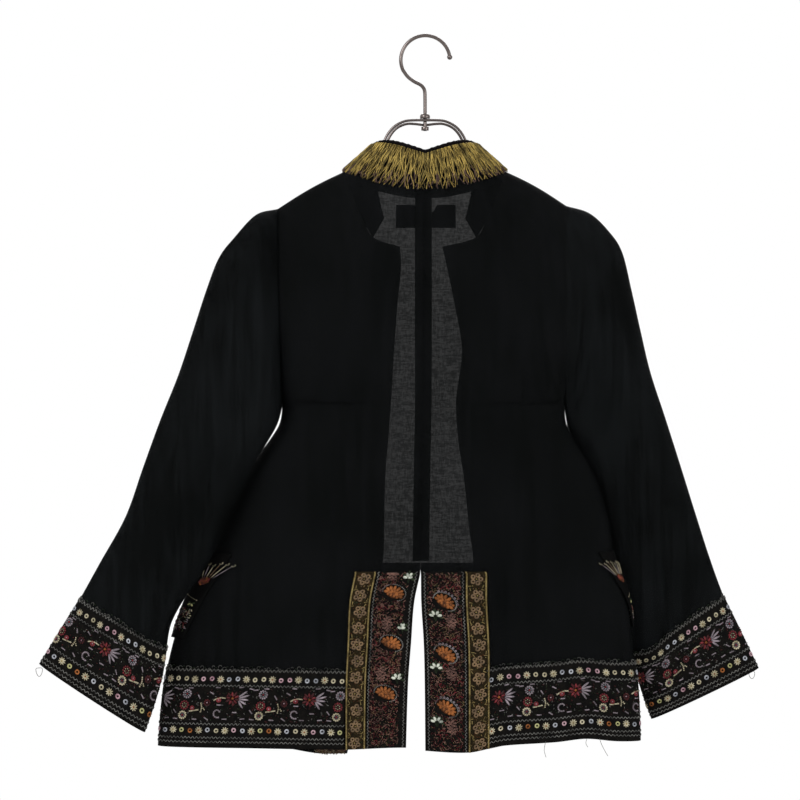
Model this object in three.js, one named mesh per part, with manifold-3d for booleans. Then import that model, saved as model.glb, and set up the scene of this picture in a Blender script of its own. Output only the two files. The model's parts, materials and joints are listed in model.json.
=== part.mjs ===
// Embroidered jacket on a double-wire hanger, in millimetres, +Z up.
// The origin is the inside top of the hanger's hook. The jacket's back faces -Y.
// "left" and "right" are as seen from behind the jacket, so left is -X.
import * as THREE from "three";
import Module from "manifold-3d";
import { mergeVertices } from "three/addons/utils/BufferGeometryUtils.js";

const wasm = await Module();
wasm.setup();

// ---------------------------------------------------------------- driving sizes
const CLOTH = 1.0; // wall of the black voile
const TRIM = 1.5; // embroidered bands
const GOLD_TRIM = 2.0; // gold-corded bands
const COLLAR_WALL = 2.0;
const WELT = 2.6; // folded and beaded pocket welts
const SEAM = 0.3; // gap between pieces that are sewn or lie on each other
const APPLIQUE = 1.2; // height of the fan appliques over their band

const SIDE_COLUMNS = 12; // steps across a half back or front
const TOP_ROWS = 10; // steps from shoulder to underarm
const SKIRT_SHARES = [0, 0.06, 0.153, 0.26, 0.374, 0.491, 0.654, 0.824, 1]; // rows down to the hem
const SKIRT_ROWS = SKIRT_SHARES.length - 1;
const SLEEVE_COLUMNS = 2 * TOP_ROWS; // steps round a sleeve
const BODY_POWER = 2.6; // superellipse power of the body's section
const SLEEVE_POWER = 2.2; // the same of a sleeve's section
const ARMHOLE_POWER = 1.6; // the armhole is a more pointed oval

const UNDERARM_Z = -402.4;
const VENT_TOP_Z = -587.2;
const HEM_Z = -779; // about where the back's hem hangs
const FRONT_CORNER = { y: 50, z: -227.5 }; // where a front's edge meets the neck seam
const HEM_BAND = 86;
const VENT_BAND = 45;
const VENT_BAND_TOP_Z = -585.5;
const FACING_TOP_Z = -576;
const GOLD_BAND = 22;
const FRONT_BAND = 40;
const FRINGE_STRANDS = 140;
const FRINGE_LENGTH = 31;

// The body below the underarm: side folds, centre seam and half depths by height.
const SECTION = [
  { z: -402.4, left: -156.2, right: 152.9, seam: -2.2, back: 42, front: 44 },
  { z: -425.0, left: -159.5, right: 155.0, seam: -2.5, back: 42, front: 44 },
  { z: -443.1, left: -170.5, right: 163.6, seam: -2.9, back: 42, front: 43.5 },
  { z: -460.0, left: -183.0, right: 174.5, seam: -3.3, back: 41.5, front: 43 },
  { z: -487.1, left: -200.0, right: 188.1, seam: -3.7, back: 41, front: 42 },
  { z: -531.1, left: -222.5, right: 201.3, seam: -4.4, back: 40, front: 40 },
  { z: -575.1, left: -242.5, right: 207.9, seam: -5.0, back: 38, front: 38 },
  { z: -619.1, left: -261.8, right: 222.2, seam: -7.7, back: 36, front: 36 },
  { z: -663.1, left: -276.1, right: 227.2, seam: -8.2, back: 34, front: 34 },
  { z: -718.1, left: -287.7, right: 234.3, seam: -9.9, back: 32, front: 32 },
  { z: -800.0, left: -294.5, right: 237.0, seam: -11.0, back: 31, front: 31 },
];

// The vent's two edges.
const VENT = [
  { z: -587.2, left: -5.4, right: -4.8 },
  { z: -619.1, left: -12.1, right: -4.4 },
  { z: -663.1, left: -15.4, right: -1.7 },
  { z: -707.1, left: -18.7, right: -0.6 },
  { z: -800.0, left: -21.5, right: 0.2 },
];

// The open edges of the two fronts.
const FRONT_EDGE = [
  { z: -227.5, left: -27.5, right: 19.8 },
  { z: -251.7, left: -26.4, right: 25.3 },
  { z: -289.1, left: -30.1, right: 33.0 },
  { z: -344.1, left: -34.1, right: 41.8 },
  { z: -399.1, left: -37.4, right: 35.2 },
  { z: -443.1, left: -40.7, right: 37.4 },
  { z: -487.1, left: -44.0, right: 44.0 },
  { z: -542.1, left: -45.1, right: 49.5 },
  { z: -575.1, left: -46.2, right: 53.9 },
  { z: -663.1, left: -58.3, right: 55.0 },
  { z: -800.0, left: -88.0, right: 57.5 },
];

// The hem's height across the width, behind and in front.
const HEM = [
  { x: -294, back: -778.6, front: -778.6 },
  { x: -199, back: -778.6, front: -778.6 },
  { x: -155, back: -779.1, front: -785.2 },
  { x: -115, back: -779.7, front: -791.8 },
  { x: -86, back: -779.7, front: -791.8 },
  { x: -21, back: -777.5, front: -791.8 },
  { x: 0, back: -780.8, front: -773.1 },
  { x: 46, back: -783.0, front: -774.2 },
  { x: 70, back: -778.6, front: -774.2 },
  { x: 87, back: -775.3, front: -774.2 },
  { x: 142, back: -772.0, front: -772.0 },
  { x: 175, back: -768.7, front: -769.8 },
  { x: 208, back: -772.0, front: -772.0 },
  { x: 237, back: -773.1, front: -773.1 },
];

// The neck seam of one half, from the centre back over the shoulder to the front corner.
const NECK = [
  { x: 0.0, y: -48, z: -168.1 },
  { x: 22.5, y: -46, z: -166.4 },
  { x: 44.0, y: -40, z: -161.5 },
  { x: 62.5, y: -30, z: -156.0 },
  { x: 76.5, y: -19, z: -151.0 },
  { x: 84.5, y: -8, z: -148.0 },
  { x: 86.5, y: 0, z: -147.2 },
  { x: 86.0, y: 9, z: -152.2 },
  { x: 83.5, y: 19, z: -160.5 },
  { x: 78.0, y: 30, z: -176.0 },
  { x: 69.5, y: 40, z: -196.0 },
  { x: 57.5, y: 46, z: -217.6 },
];
// The collar's top edge, column for column with the neck seam.
const COLLAR_TOP = [
  { x: 0.0, y: -40, z: -130.7 },
  { x: 14.0, y: -38.5, z: -126.0 },
  { x: 28.0, y: -35, z: -121.5 },
  { x: 40.0, y: -30, z: -118.8 },
  { x: 50.0, y: -22, z: -118.5 },
  { x: 56.5, y: -12, z: -121.0 },
  { x: 59.0, y: -2, z: -127.5 },
  { x: 59.0, y: 8, z: -137.0 },
  { x: 57.5, y: 18, z: -151.0 },
  { x: 55.0, y: 27, z: -168.0 },
  { x: 51.5, y: 35, z: -184.6 },
  { x: 47.0, y: 41, z: -199.0 },
];
const NECK_TO_SHOULDER = 6; // neck steps behind the shoulder seam
const COLLAR_ROWS = 4;

// Sleeve rings: outer point o, inner point i, middle y and half depth, from the armhole down.
const SLEEVE = {
  left: [
    { ox: -161.7, oz: -189.0, ix: -156.2, iz: -402.4, y: 0, depth: 38 },
    { ox: -184.8, oz: -196.7, ix: -161.8, iz: -425.0, y: -18, depth: 34 },
    { ox: -207.9, oz: -222.0, ix: -172.5, iz: -445.0, y: -27, depth: 31 },
    { ox: -224.4, oz: -244.0, ix: -184.8, iz: -465.1, y: -29, depth: 31 },
    { ox: -237.6, oz: -278.1, ix: -195.8, iz: -487.1, y: -31, depth: 30 },
    { ox: -251.9, oz: -322.1, ix: -205.7, iz: -509.1, y: -32, depth: 29 },
    { ox: -268.4, oz: -371.6, ix: -216.7, iz: -531.1, y: -32, depth: 28 },
    { ox: -288.2, oz: -421.1, ix: -227.7, iz: -558.6, y: -32, depth: 27 },
    { ox: -306.9, oz: -472.8, ix: -242.0, iz: -586.1, y: -33, depth: 25 },
    { ox: -325.6, oz: -525.6, ix: -260.7, iz: -612.5, y: -34, depth: 22 },
    { ox: -353.1, oz: -575.1, ix: -276.3, iz: -641.1, y: -33, depth: 19 },
    { ox: -375.1, oz: -614.7, ix: -281.7, iz: -668.6, y: -34, depth: 17 },
    { ox: -389.8, oz: -638.5, ix: -286.5, iz: -698.0, y: -34, depth: 17 },
    { ox: -404.4, oz: -662.4, ix: -295.0, iz: -729.0, y: -34, depth: 16 },
    { ox: -419.1, oz: -686.2, ix: -305.8, iz: -759.9, y: -34, depth: 15 },
  ],
  right: [
    { ox: 155.1, oz: -185.7, ix: 152.9, iz: -402.4, y: 0, depth: 38 },
    { ox: 181.5, oz: -192.3, ix: 157.8, iz: -427.0, y: 18, depth: 34 },
    { ox: 202.4, oz: -209.9, ix: 163.5, iz: -448.8, y: 28, depth: 31 },
    { ox: 218.9, oz: -234.1, ix: 173.8, iz: -469.5, y: 32, depth: 30 },
    { ox: 229.9, oz: -278.1, ix: 183.7, iz: -487.1, y: 33, depth: 30 },
    { ox: 239.8, oz: -322.1, ix: 190.3, iz: -505.8, y: 34, depth: 29 },
    { ox: 250.8, oz: -368.3, ix: 196.9, iz: -525.6, y: 34, depth: 28 },
    { ox: 267.3, oz: -418.9, ix: 200.6, iz: -547.6, y: 34, depth: 27 },
    { ox: 283.8, oz: -470.6, ix: 207.8, iz: -577.3, y: 34, depth: 25 },
    { ox: 300.3, oz: -523.4, ix: 221.6, iz: -605.9, y: 34, depth: 22 },
    { ox: 316.8, oz: -575.1, ix: 223.0, iz: -638.9, y: 33, depth: 19 },
    { ox: 332.2, oz: -616.9, ix: 231.0, iz: -679.6, y: 34, depth: 17 },
    { ox: 345.0, oz: -643.7, ix: 236.5, iz: -704.2, y: 34, depth: 17 },
    { ox: 357.9, oz: -670.4, ix: 244.0, iz: -728.7, y: 34, depth: 16 },
    { ox: 370.7, oz: -697.2, ix: 253.0, iz: -753.3, y: 34, depth: 15 },
  ],
};
const CUFF_TOP_RING = 11;

// Long soft folds of the sleeves: degrees round the tube from its outer edge, over the back.
const SLEEVE_FOLDS = [
  { around: 55, width: 16, depth: -3.2, from: 2, to: 11 },
  { around: 88, width: 14, depth: 2.6, from: 3, to: 12 },
  { around: 118, width: 13, depth: -3.4, from: 1, to: 10 },
  { around: 150, width: 12, depth: 2.2, from: 4, to: 11 },
  { around: 230, width: 16, depth: -2.8, from: 2, to: 11 },
  { around: 290, width: 18, depth: 2.6, from: 3, to: 12 },
];

// The hook's arc runs from its ball over the top, in degrees, and its foot bends to the stem.
const HOOK = { radius: 27, wire: 2, ball: 3, centre: { x: 0.4, z: -25 }, from: 7, to: 205, steps: 18 };
const HOOK_FOOT = [
  { x: -19, z: -43.2 },
  { x: -12, z: -48.6 },
  { x: -4.5, z: -52.6 },
  { x: -0.8, z: -57.5 },
  { x: 0, z: -66 },
];
const NUT = { outer: 5.6, bottom: -89.6, height: 5.6, domed: true };
const LOCK_NUT = { outer: 4.2, bottom: -102.6, height: 4.0, domed: false };
const STEM_BOTTOM_Z = -103;
// Half of a hanger wire, from the stem out to the end of the arm.
const HANGER_WIRE = [
  { x: 0, z: -91.6, spread: 3.8 },
  { x: 12, z: -91.6, spread: 3.8 },
  { x: 22, z: -92.6, spread: 3.8 },
  { x: 33, z: -98.0, spread: 3.8 },
  { x: 41, z: -107.0, spread: 3.8 },
  { x: 46.5, z: -119.0, spread: 3.8 },
  { x: 50.4, z: -129.0, spread: 4.0 },
  { x: 56, z: -138.0, spread: 4.2 },
  { x: 67, z: -146.0, spread: 4.8 },
  { x: 83, z: -153.6, spread: 5.0 },
  { x: 104, z: -163.2, spread: 5.0 },
  { x: 128, z: -175.6, spread: 4.6 },
  { x: 147, z: -186.6, spread: 2.6 },
];
const WIRE_RADIUS = 1.5;
const FRONT_WIRE_DROP = 4.5; // the front wire's arch sits lower on the stem

const COLOURS = {
  voile: 0x0e1112,
  embroidery: 0x2a1f20,
  gold: 0x6a5a34,
  fringe: 0x8d7838,
  binding: 0x0b0b0c,
  label: 0x101112,
  metal: 0x6f6966,
};

// ---------------------------------------------------------------- small helpers
const SIDES = ["left", "right"];
const signOf = (side) => (side === "left" ? -1 : 1);
const v3 = (x, y, z) => new THREE.Vector3(x, y, z);
const range = (count) => Array.from({ length: count }, (_, i) => i);

// A column of a table at a height or width, as a smooth curve through its rows.
function column(table, by, name, at) {
  const rising = table[1][by] > table[0][by];
  const inside = (row) => (rising ? row[by] <= at : row[by] >= at);
  const last = table.length - 2;
  const i = Math.min(Math.max(table.filter(inside).length - 1, 0), last);
  const [a, b] = [table[i], table[i + 1]];
  const [before, after] = [table[Math.max(i - 1, 0)], table[Math.min(i + 2, last + 1)]];
  const t = THREE.MathUtils.clamp((at - a[by]) / (b[by] - a[by]), 0, 1);
  const step = b[by] - a[by];
  const slopeA = ((b[name] - before[name]) / (b[by] - before[by])) * step;
  const slopeB = ((after[name] - a[name]) / (after[by] - a[by])) * step;
  const [t2, t3] = [t * t, t * t * t];
  return (
    (2 * t3 - 3 * t2 + 1) * a[name] +
    (t3 - 2 * t2 + t) * slopeA +
    (3 * t2 - 2 * t3) * b[name] +
    (t3 - t2) * slopeB
  );
}

// A grid of points over a cloth piece, with the outward direction at each.
function makeGrid(rows, columns, closed, pointAt, outwardHint) {
  const at = range(rows).map((r) => range(columns).map((c) => pointAt(r, c)));
  const grid = { rows, columns, closed, at, out: [] };
  const wrap = (c) => (closed ? (c + columns) % columns : THREE.MathUtils.clamp(c, 0, columns - 1));
  grid.out = range(rows).map((r) =>
    range(columns).map((c) => {
      const along = at[Math.min(r + 1, rows - 1)][c].clone().sub(at[Math.max(r - 1, 0)][c]);
      const across = at[r][wrap(c + 1)].clone().sub(at[r][wrap(c - 1)]);
      const normal = along.cross(across).normalize();
      return normal.dot(outwardHint(r, c, at[r][c])) < 0 ? normal.negate() : normal;
    }),
  );
  return grid;
}

// A point and its outward direction between the grid's own points.
function sample(grid, row, col) {
  const wrapped = grid.closed ? ((col % grid.columns) + grid.columns) % grid.columns : col;
  const r = Math.min(Math.floor(row), grid.rows - 2);
  const c = grid.closed ? Math.floor(wrapped) : Math.min(Math.floor(wrapped), grid.columns - 2);
  const next = grid.closed ? (c + 1) % grid.columns : c + 1;
  const [fr, fc] = [row - r, wrapped - c];
  const mix = (field) => {
    const above = field[r][c].clone().lerp(field[r][next], fc);
    const below = field[r + 1][c].clone().lerp(field[r + 1][next], fc);
    return above.lerp(below, fr);
  };
  return { at: mix(grid.at), out: mix(grid.out) };
}

// Whole steps between two real-valued places, with those places themselves at the ends.
function stops(from, to, extra = []) {
  const [low, high] = [Math.min(from, to), Math.max(from, to)];
  const whole = range(Math.floor(high) - Math.ceil(low) + 1).map((i) => Math.ceil(low) + i);
  const near = 0.08;
  const inner = [...whole, ...extra].filter((s) => s > low + near && s < high - near);
  const sorted = [...new Set(inner)].sort((a, b) => a - b);
  const list = [low, ...sorted.filter((s, i) => i === 0 || s - sorted[i - 1] > near), high];
  return from < to ? list : list.reverse();
}

// A closed wall between two offsets of a grid. raise adds height to single outer points.
function shell(grid, inner, outer, raise = () => 0) {
  const { rows, columns, closed } = grid;
  const positions = [];
  const index = [];
  const put = (r, c, offset) => {
    const p = grid.at[r][c].clone().addScaledVector(grid.out[r][c], offset);
    positions.push(p.x, p.y, p.z);
  };
  range(rows).forEach((r) => range(columns).forEach((c) => put(r, c, outer + raise(r, c))));
  range(rows).forEach((r) => range(columns).forEach((c) => put(r, c, inner)));
  const base = rows * columns;
  const quad = (a, b, c, d) => index.push(a, b, c, a, c, d);
  const id = (r, c) => r * columns + (c % columns);
  const spans = closed ? columns : columns - 1;
  for (let r = 0; r < rows - 1; r++) {
    for (let c = 0; c < spans; c++) {
      quad(id(r, c), id(r, c + 1), id(r + 1, c + 1), id(r + 1, c));
      quad(base + id(r, c), base + id(r + 1, c), base + id(r + 1, c + 1), base + id(r, c + 1));
    }
  }
  for (let c = 0; c < spans; c++) {
    quad(id(0, c), base + id(0, c), base + id(0, c + 1), id(0, c + 1));
    quad(id(rows - 1, c), id(rows - 1, c + 1), base + id(rows - 1, c + 1), base + id(rows - 1, c));
  }
  for (let r = 0; r < rows - 1 && !closed; r++) {
    quad(id(r, 0), id(r + 1, 0), base + id(r + 1, 0), base + id(r, 0));
    const end = columns - 1;
    quad(id(r, end), base + id(r, end), base + id(r + 1, end), id(r + 1, end));
  }
  return facingOut(positions, index);
}

// A geometry from raw points and faces, turned so that its faces point out.
function facingOut(positions, index) {
  const at = (i) => v3(positions[3 * i], positions[3 * i + 1], positions[3 * i + 2]);
  let volume = 0;
  for (let i = 0; i < index.length; i += 3) {
    volume += at(index[i]).dot(at(index[i + 1]).cross(at(index[i + 2])));
  }
  const faces = volume < 0 ? [...index].reverse() : index;
  const geometry = new THREE.BufferGeometry();
  geometry.setAttribute("position", new THREE.Float32BufferAttribute(positions, 3));
  geometry.setIndex(faces);
  return geometry;
}

function toSolid(geometry) {
  const bare = geometry.clone();
  bare.deleteAttribute("normal");
  bare.deleteAttribute("uv");
  const merged = mergeVertices(bare, 1e-4);
  const vertProperties = new Float32Array(merged.attributes.position.array);
  const triVerts = new Uint32Array(merged.index.array);
  return new wasm.Manifold(new wasm.Mesh({ numProp: 3, vertProperties, triVerts }));
}

function fromSolid(solid) {
  const mesh = solid.getMesh();
  const geometry = new THREE.BufferGeometry();
  geometry.setAttribute("position", new THREE.BufferAttribute(new Float32Array(mesh.vertProperties), 3));
  geometry.setIndex([...mesh.triVerts]);
  return geometry;
}

const jacket = new THREE.Group();

function piece(name, geometry, colour, finish = {}) {
  const { roughness = 0.85, metalness = 0 } = finish;
  const material = new THREE.MeshStandardMaterial({ color: colour, roughness, metalness });
  const mesh = new THREE.Mesh(geometry, material);
  mesh.name = name;
  jacket.add(mesh);
}

// ---------------------------------------------------------------- sewing
// Points of several pieces that lie on one seam share a mitred direction, and each piece
// ends half the seam gap before it.
const stitched = new Map();

function stitch(grid, cells) {
  cells.forEach(([r, c, dr, dc]) => {
    const p = grid.at[r][c];
    const key = [p.x, p.y, p.z].map((value) => value.toFixed(2)).join();
    if (!stitched.has(key)) stitched.set(key, []);
    const wrapped = grid.closed ? (c + dc + grid.columns) % grid.columns : c + dc;
    stitched.get(key).push({ grid, r, c, towards: grid.at[r + dr][wrapped].clone().sub(p).normalize() });
  });
}

const CROTCH_ROOM = [
  { away: -1, room: 0.3 },
  { away: 0, room: 0.9 },
  { away: 1, room: 0.6 },
];
const EASE = 1.2; // sleeves and collar keep a little more room at their seams

function sew() {
  const longest = 1.7;
  const crotch = v3(0, 0, -1.3); // where body and sleeve hang side by side from one point
  for (const group of stitched.values()) {
    const corners = [...new Set(group.map((entry) => entry.grid))].map((grid) => {
      const { r, c } = group.find((entry) => entry.grid === grid);
      return { grid, r, c, normal: grid.out[r][c].clone() };
    });
    const sum = (list) => list.reduce((total, { normal }) => total.add(normal), v3(0, 0, 0)).normalize();
    const panels = corners.filter(({ grid }) => grid.rows === TOP_ROWS + SKIRT_ROWS + 1);
    const others = corners.filter((corner) => !panels.includes(corner));
    const grouped = others.length > 0 && panels.length > 0;
    const normals = grouped ? [sum(panels), sum(others)] : corners.map((corner) => corner.normal);
    const mitre = normals.reduce((total, normal) => total.add(normal), v3(0, 0, 0));
    if (mitre.length() < 0.7) mitre.copy(crotch);
    else {
      mitre.normalize();
      const lean = normals.reduce((total, normal) => total + normal.dot(mitre), 0) / normals.length;
      mitre.multiplyScalar(Math.min(1 / Math.max(lean, 0.01), longest));
    }
    corners.forEach(({ grid, r, c }) => grid.out[r][c].copy(mitre));
    group.forEach(({ grid, r, c, towards }) => {
      const share = grid.rows === TOP_ROWS + SKIRT_ROWS + 1 ? 0.5 : EASE;
      grid.at[r][c].addScaledVector(towards, share * SEAM);
    });
  }
}

const rowCells = (r, dr, from, to) => range(to - from + 1).map((i) => [r, from + i, dr, 0]);
const columnCells = (c, dc, from, to) => range(to - from + 1).map((i) => [from + i, c, 0, dc]);

// ---------------------------------------------------------------- body panels
const unitPower = (value, power) => Math.sign(value) * Math.abs(value) ** (2 / power);

// The body's section at a height: x and y at an angle from the centre line (0) to the fold.
function onSection(side, face, z, angle) {
  const seam = column(SECTION, "z", "seam", z);
  const fold = column(SECTION, "z", side, z);
  const depth = column(SECTION, "z", face, z) * (face === "back" ? -1 : 1);
  return {
    x: seam + (fold - seam) * unitPower(Math.sin(angle), BODY_POWER),
    y: depth * unitPower(Math.max(Math.cos(angle), 0), BODY_POWER),
  };
}

// The angle at which the section stands at a given x.
function angleAt(side, z, x) {
  const seam = column(SECTION, "z", "seam", z);
  const fold = column(SECTION, "z", side, z);
  const share = THREE.MathUtils.clamp((x - seam) / (fold - seam), 0, 1);
  return Math.asin(share ** (BODY_POWER / 2));
}

// The armhole, shared by body and sleeve: half a turn behind (0 to 180), half in front.
function onRing(ring, turn) {
  const power = ring.y === 0 ? ARMHOLE_POWER : SLEEVE_POWER;
  const across = unitPower(Math.cos(turn), power);
  const deep = unitPower(Math.sin(turn), power);
  return v3(
    (ring.ox + ring.ix) / 2 + (across * (ring.ox - ring.ix)) / 2,
    ring.y - ring.depth * deep,
    (ring.oz + ring.iz) / 2 + (across * (ring.oz - ring.iz)) / 2,
  );
}

const neckPoint = (side, i) => v3(signOf(side) * NECK[i].x, NECK[i].y, NECK[i].z);
const frontCorner = (side) => {
  const { y, z } = FRONT_CORNER;
  return v3(column(FRONT_EDGE, "z", side, z), y, z);
};
const shoulderEnd = (side) => onRing(SLEEVE[side][0], 0);

// The upper edge of a half back or front: neck seam, then shoulder seam.
function topEdge(side, face, c) {
  const half = SIDE_COLUMNS / 2;
  if (c >= half) {
    const t = (c - half) / (SIDE_COLUMNS - half);
    const p = neckPoint(side, NECK_TO_SHOULDER).lerp(shoulderEnd(side), t);
    p.z += 2.5 * Math.sin(Math.PI * t);
    return p;
  }
  if (face === "back") return neckPoint(side, c);
  return c === 0 ? frontCorner(side) : neckPoint(side, NECK.length - c);
}

// The edge nearest the centre, above the underarm.
function centreEdge(side, face, rise) {
  const top = topEdge(side, face, 0);
  const bottom = skirtPoint(side, face, 0, UNDERARM_Z);
  const z = THREE.MathUtils.lerp(top.z, bottom.z, rise);
  const x = face === "back" ? column(SECTION, "z", "seam", z) : column(FRONT_EDGE, "z", side, z);
  const straight = THREE.MathUtils.lerp(top.x, bottom.x, rise);
  return v3(face === "back" ? straight : x, THREE.MathUtils.lerp(top.y, bottom.y, rise), z);
}

// A point below the underarm: t is 0 at the centre edge and 1 at the side fold.
function skirtPoint(side, face, t, z) {
  const edges = face === "front" ? FRONT_EDGE : VENT;
  const open = face === "front" || z < VENT_TOP_Z;
  const seam = column(SECTION, "z", "seam", z);
  const edge = open ? column(edges, "z", side, z) : seam;
  const beyond = (edge - seam) * signOf(side) < 0; // the right edge may lie past the seam line
  const start = beyond ? 0 : angleAt(side, z, edge);
  const p = onSection(side, face, z, THREE.MathUtils.lerp(start, Math.PI / 2, t));
  return v3(p.x + (beyond ? (edge - seam) * (1 - t) ** 2 : 0), p.y, z);
}

// The upper part spans its four edges. Depth rises quickly from the shoulder, like an arch.
function yokePoint(side, face, c, r) {
  const [u, w] = [c / SIDE_COLUMNS, r / TOP_ROWS];
  const fall = (1 - Math.cos(Math.PI * w)) / 2;
  const arch = Math.sqrt(1 - (1 - fall) ** 2);
  const top = topEdge(side, face, c);
  const bottom = skirtPoint(side, face, u, UNDERARM_Z);
  const inner = centreEdge(side, face, fall);
  const outer = onRing(SLEEVE[side][0], (face === "back" ? 1 : -1) * Math.PI * w);
  const [c00, c10] = [topEdge(side, face, 0), topEdge(side, face, SIDE_COLUMNS)];
  const [c01, c11] = [skirtPoint(side, face, 0, UNDERARM_Z), skirtPoint(side, face, 1, UNDERARM_Z)];
  const blend = (axis, f) =>
    (1 - f) * top[axis] +
    f * bottom[axis] +
    (1 - u) * inner[axis] +
    u * outer[axis] -
    (1 - f) * ((1 - u) * c00[axis] + u * c10[axis]) -
    f * ((1 - u) * c01[axis] + u * c11[axis]);
  return v3(blend("x", fall), blend("y", arch), blend("z", fall));
}

function bodyGrid(side, face) {
  const rows = TOP_ROWS + SKIRT_ROWS + 1;
  const pointAt = (r, c) => {
    if (r <= TOP_ROWS) return yokePoint(side, face, c, r);
    const t = c / SIDE_COLUMNS;
    const share = SKIRT_SHARES[r - TOP_ROWS];
    const rough = skirtPoint(side, face, t, THREE.MathUtils.lerp(UNDERARM_Z, HEM_Z, share));
    const hem = column(HEM, "x", face, rough.x);
    return skirtPoint(side, face, t, THREE.MathUtils.lerp(UNDERARM_Z, hem, share));
  };
  const hint = (r, c) => {
    const rim = c === SIDE_COLUMNS && r > 0 && r <= TOP_ROWS;
    const aside = rim ? 0 : (signOf(side) * 0.8 * c) / SIDE_COLUMNS;
    return v3(aside, face === "back" ? -1 : 1, r === 0 ? 3 : 0.2);
  };
  return makeGrid(rows, SIDE_COLUMNS + 1, false, pointAt, hint);
}

function sleeveGrid(side) {
  const rings = SLEEVE[side];
  const foldAt = (degrees, r) =>
    SLEEVE_FOLDS.reduce((sum, fold) => {
      const reach = THREE.MathUtils.clamp((r - fold.from) / (fold.to - fold.from), 0, 1);
      const away = (degrees - fold.around) / fold.width;
      return sum + fold.depth * Math.sin(Math.PI * reach) * Math.exp(-away * away);
    }, 0);
  const middle = (r) => v3((rings[r].ox + rings[r].ix) / 2, rings[r].y, (rings[r].oz + rings[r].iz) / 2);
  const pointAt = (r, c) => {
    const turn = (2 * Math.PI * c) / SLEEVE_COLUMNS;
    const p = onRing(rings[r], turn);
    p.y -= Math.sign(Math.sin(turn)) * foldAt(THREE.MathUtils.radToDeg(turn), r);
    return p;
  };
  return makeGrid(rings.length, SLEEVE_COLUMNS, true, pointAt, (r, c, p) => {
    const away = p.clone().sub(middle(r));
    return away.setY(away.y * 3);
  });
}

// ---------------------------------------------------------------- collar
const COLLAR_SIDE = NECK.length - 1;

function collarGrid() {
  const columns = 2 * COLLAR_SIDE + 1;
  const edge = (table, c) => {
    const i = Math.abs(c - COLLAR_SIDE);
    const sign = c < COLLAR_SIDE ? -1 : 1;
    return v3(sign * table[i].x, table[i].y, table[i].z);
  };
  const pointAt = (r, c) => edge(NECK, c).lerp(edge(COLLAR_TOP, c), r / COLLAR_ROWS);
  return makeGrid(COLLAR_ROWS + 1, columns, false, pointAt, (r, c, p) => v3(p.x, p.y, 0.4 * Math.abs(p.x)));
}

// ---------------------------------------------------------------- grids, then seams
const body = {};
SIDES.forEach((side) => {
  body[side] = { back: bodyGrid(side, "back"), front: bodyGrid(side, "front"), sleeve: sleeveGrid(side) };
});
const collar = collarGrid();

const LAST_ROW = TOP_ROWS + SKIRT_ROWS;
const VENT_ROW = range(LAST_ROW + 1).find((r) => body.left.back.at[r][0].z < VENT_TOP_Z);
SIDES.forEach((side) => {
  const { back, front, sleeve } = body[side];
  const half = SIDE_COLUMNS / 2;
  stitch(back, columnCells(0, 1, 0, VENT_ROW - 1));
  [back, front].forEach((grid) => {
    stitch(grid, rowCells(0, 1, half, SIDE_COLUMNS));
    stitch(grid, columnCells(SIDE_COLUMNS, -1, 0, LAST_ROW));
  });
  stitch(back, rowCells(0, 1, 0, half));
  stitch(front, rowCells(0, 1, 1, half));
  stitch(sleeve, rowCells(0, 1, 0, SLEEVE_COLUMNS - 1));
});
stitch(collar, rowCells(0, 1, 0, 2 * COLLAR_SIDE));
sew();
// Under the arm the sleeve starts a little outside the body, so that the two walls part.
SIDES.forEach((side) => {
  const lowest = SLEEVE_COLUMNS / 2;
  CROTCH_ROOM.forEach(({ away, room }) => {
    body[side].sleeve.at[0][lowest + away].x += signOf(side) * room;
  });
});

SIDES.forEach((side) => {
  const { back, front, sleeve } = body[side];
  piece(`back_${side}`, shell(back, -CLOTH / 2, CLOTH / 2), COLOURS.voile);
  piece(`front_${side}`, shell(front, -CLOTH / 2, CLOTH / 2), COLOURS.voile);
  piece(`sleeve_${side}`, shell(sleeve, -CLOTH / 2, CLOTH / 2), COLOURS.voile);
});
piece("collar", shell(collar, -COLLAR_WALL / 2, COLLAR_WALL / 2), COLOURS.binding);

// ---------------------------------------------------------------- bands and tapes
// A band on a grid, over rows and columns given as real-valued places. A place may be a
// function of the other direction, so that an edge can follow a hem or lean.
function band(grid, rowStops, columnStops, rowAt, columnAt, inner, outer, raise) {
  const at = rowStops.map((r) => columnStops.map((c) => sample(grid, rowAt(r, c), columnAt(r, c))));
  const part = { rows: rowStops.length, columns: columnStops.length, closed: false };
  part.at = at.map((row) => row.map((s) => s.at));
  part.out = at.map((row) => row.map((s) => s.out));
  return shell(part, inner, outer, raise && ((r, c) => raise(part.at[r][c], r, c)));
}

// The real-valued row at which a column of the grid reaches a height.
function rowOfZ(grid, col, z) {
  for (let r = TOP_ROWS / 2; r < grid.rows - 1; r++) {
    const [a, b] = [sample(grid, r, col).at.z, sample(grid, r + 1, col).at.z];
    if (b <= z) return r + THREE.MathUtils.clamp((a - z) / (a - b), 0, 1);
  }
  return grid.rows - 1;
}

// The real-valued column at which a row of the grid reaches a distance from its first edge.
function columnOfWidth(grid, row, width) {
  let walked = 0;
  for (let c = 0; c < grid.columns - 1; c++) {
    const length = sample(grid, row, c).at.distanceTo(sample(grid, row, c + 1).at);
    if (walked + length >= width) return c + (width - walked) / length;
    walked += length;
  }
  return grid.columns - 1;
}

const ON_CLOTH = CLOTH / 2 + SEAM;
const UNDER_CLOTH = -CLOTH / 2 - SEAM;
const GOLD_START = VENT_BAND + SEAM;
const GOLD_END = GOLD_START + GOLD_BAND;

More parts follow.
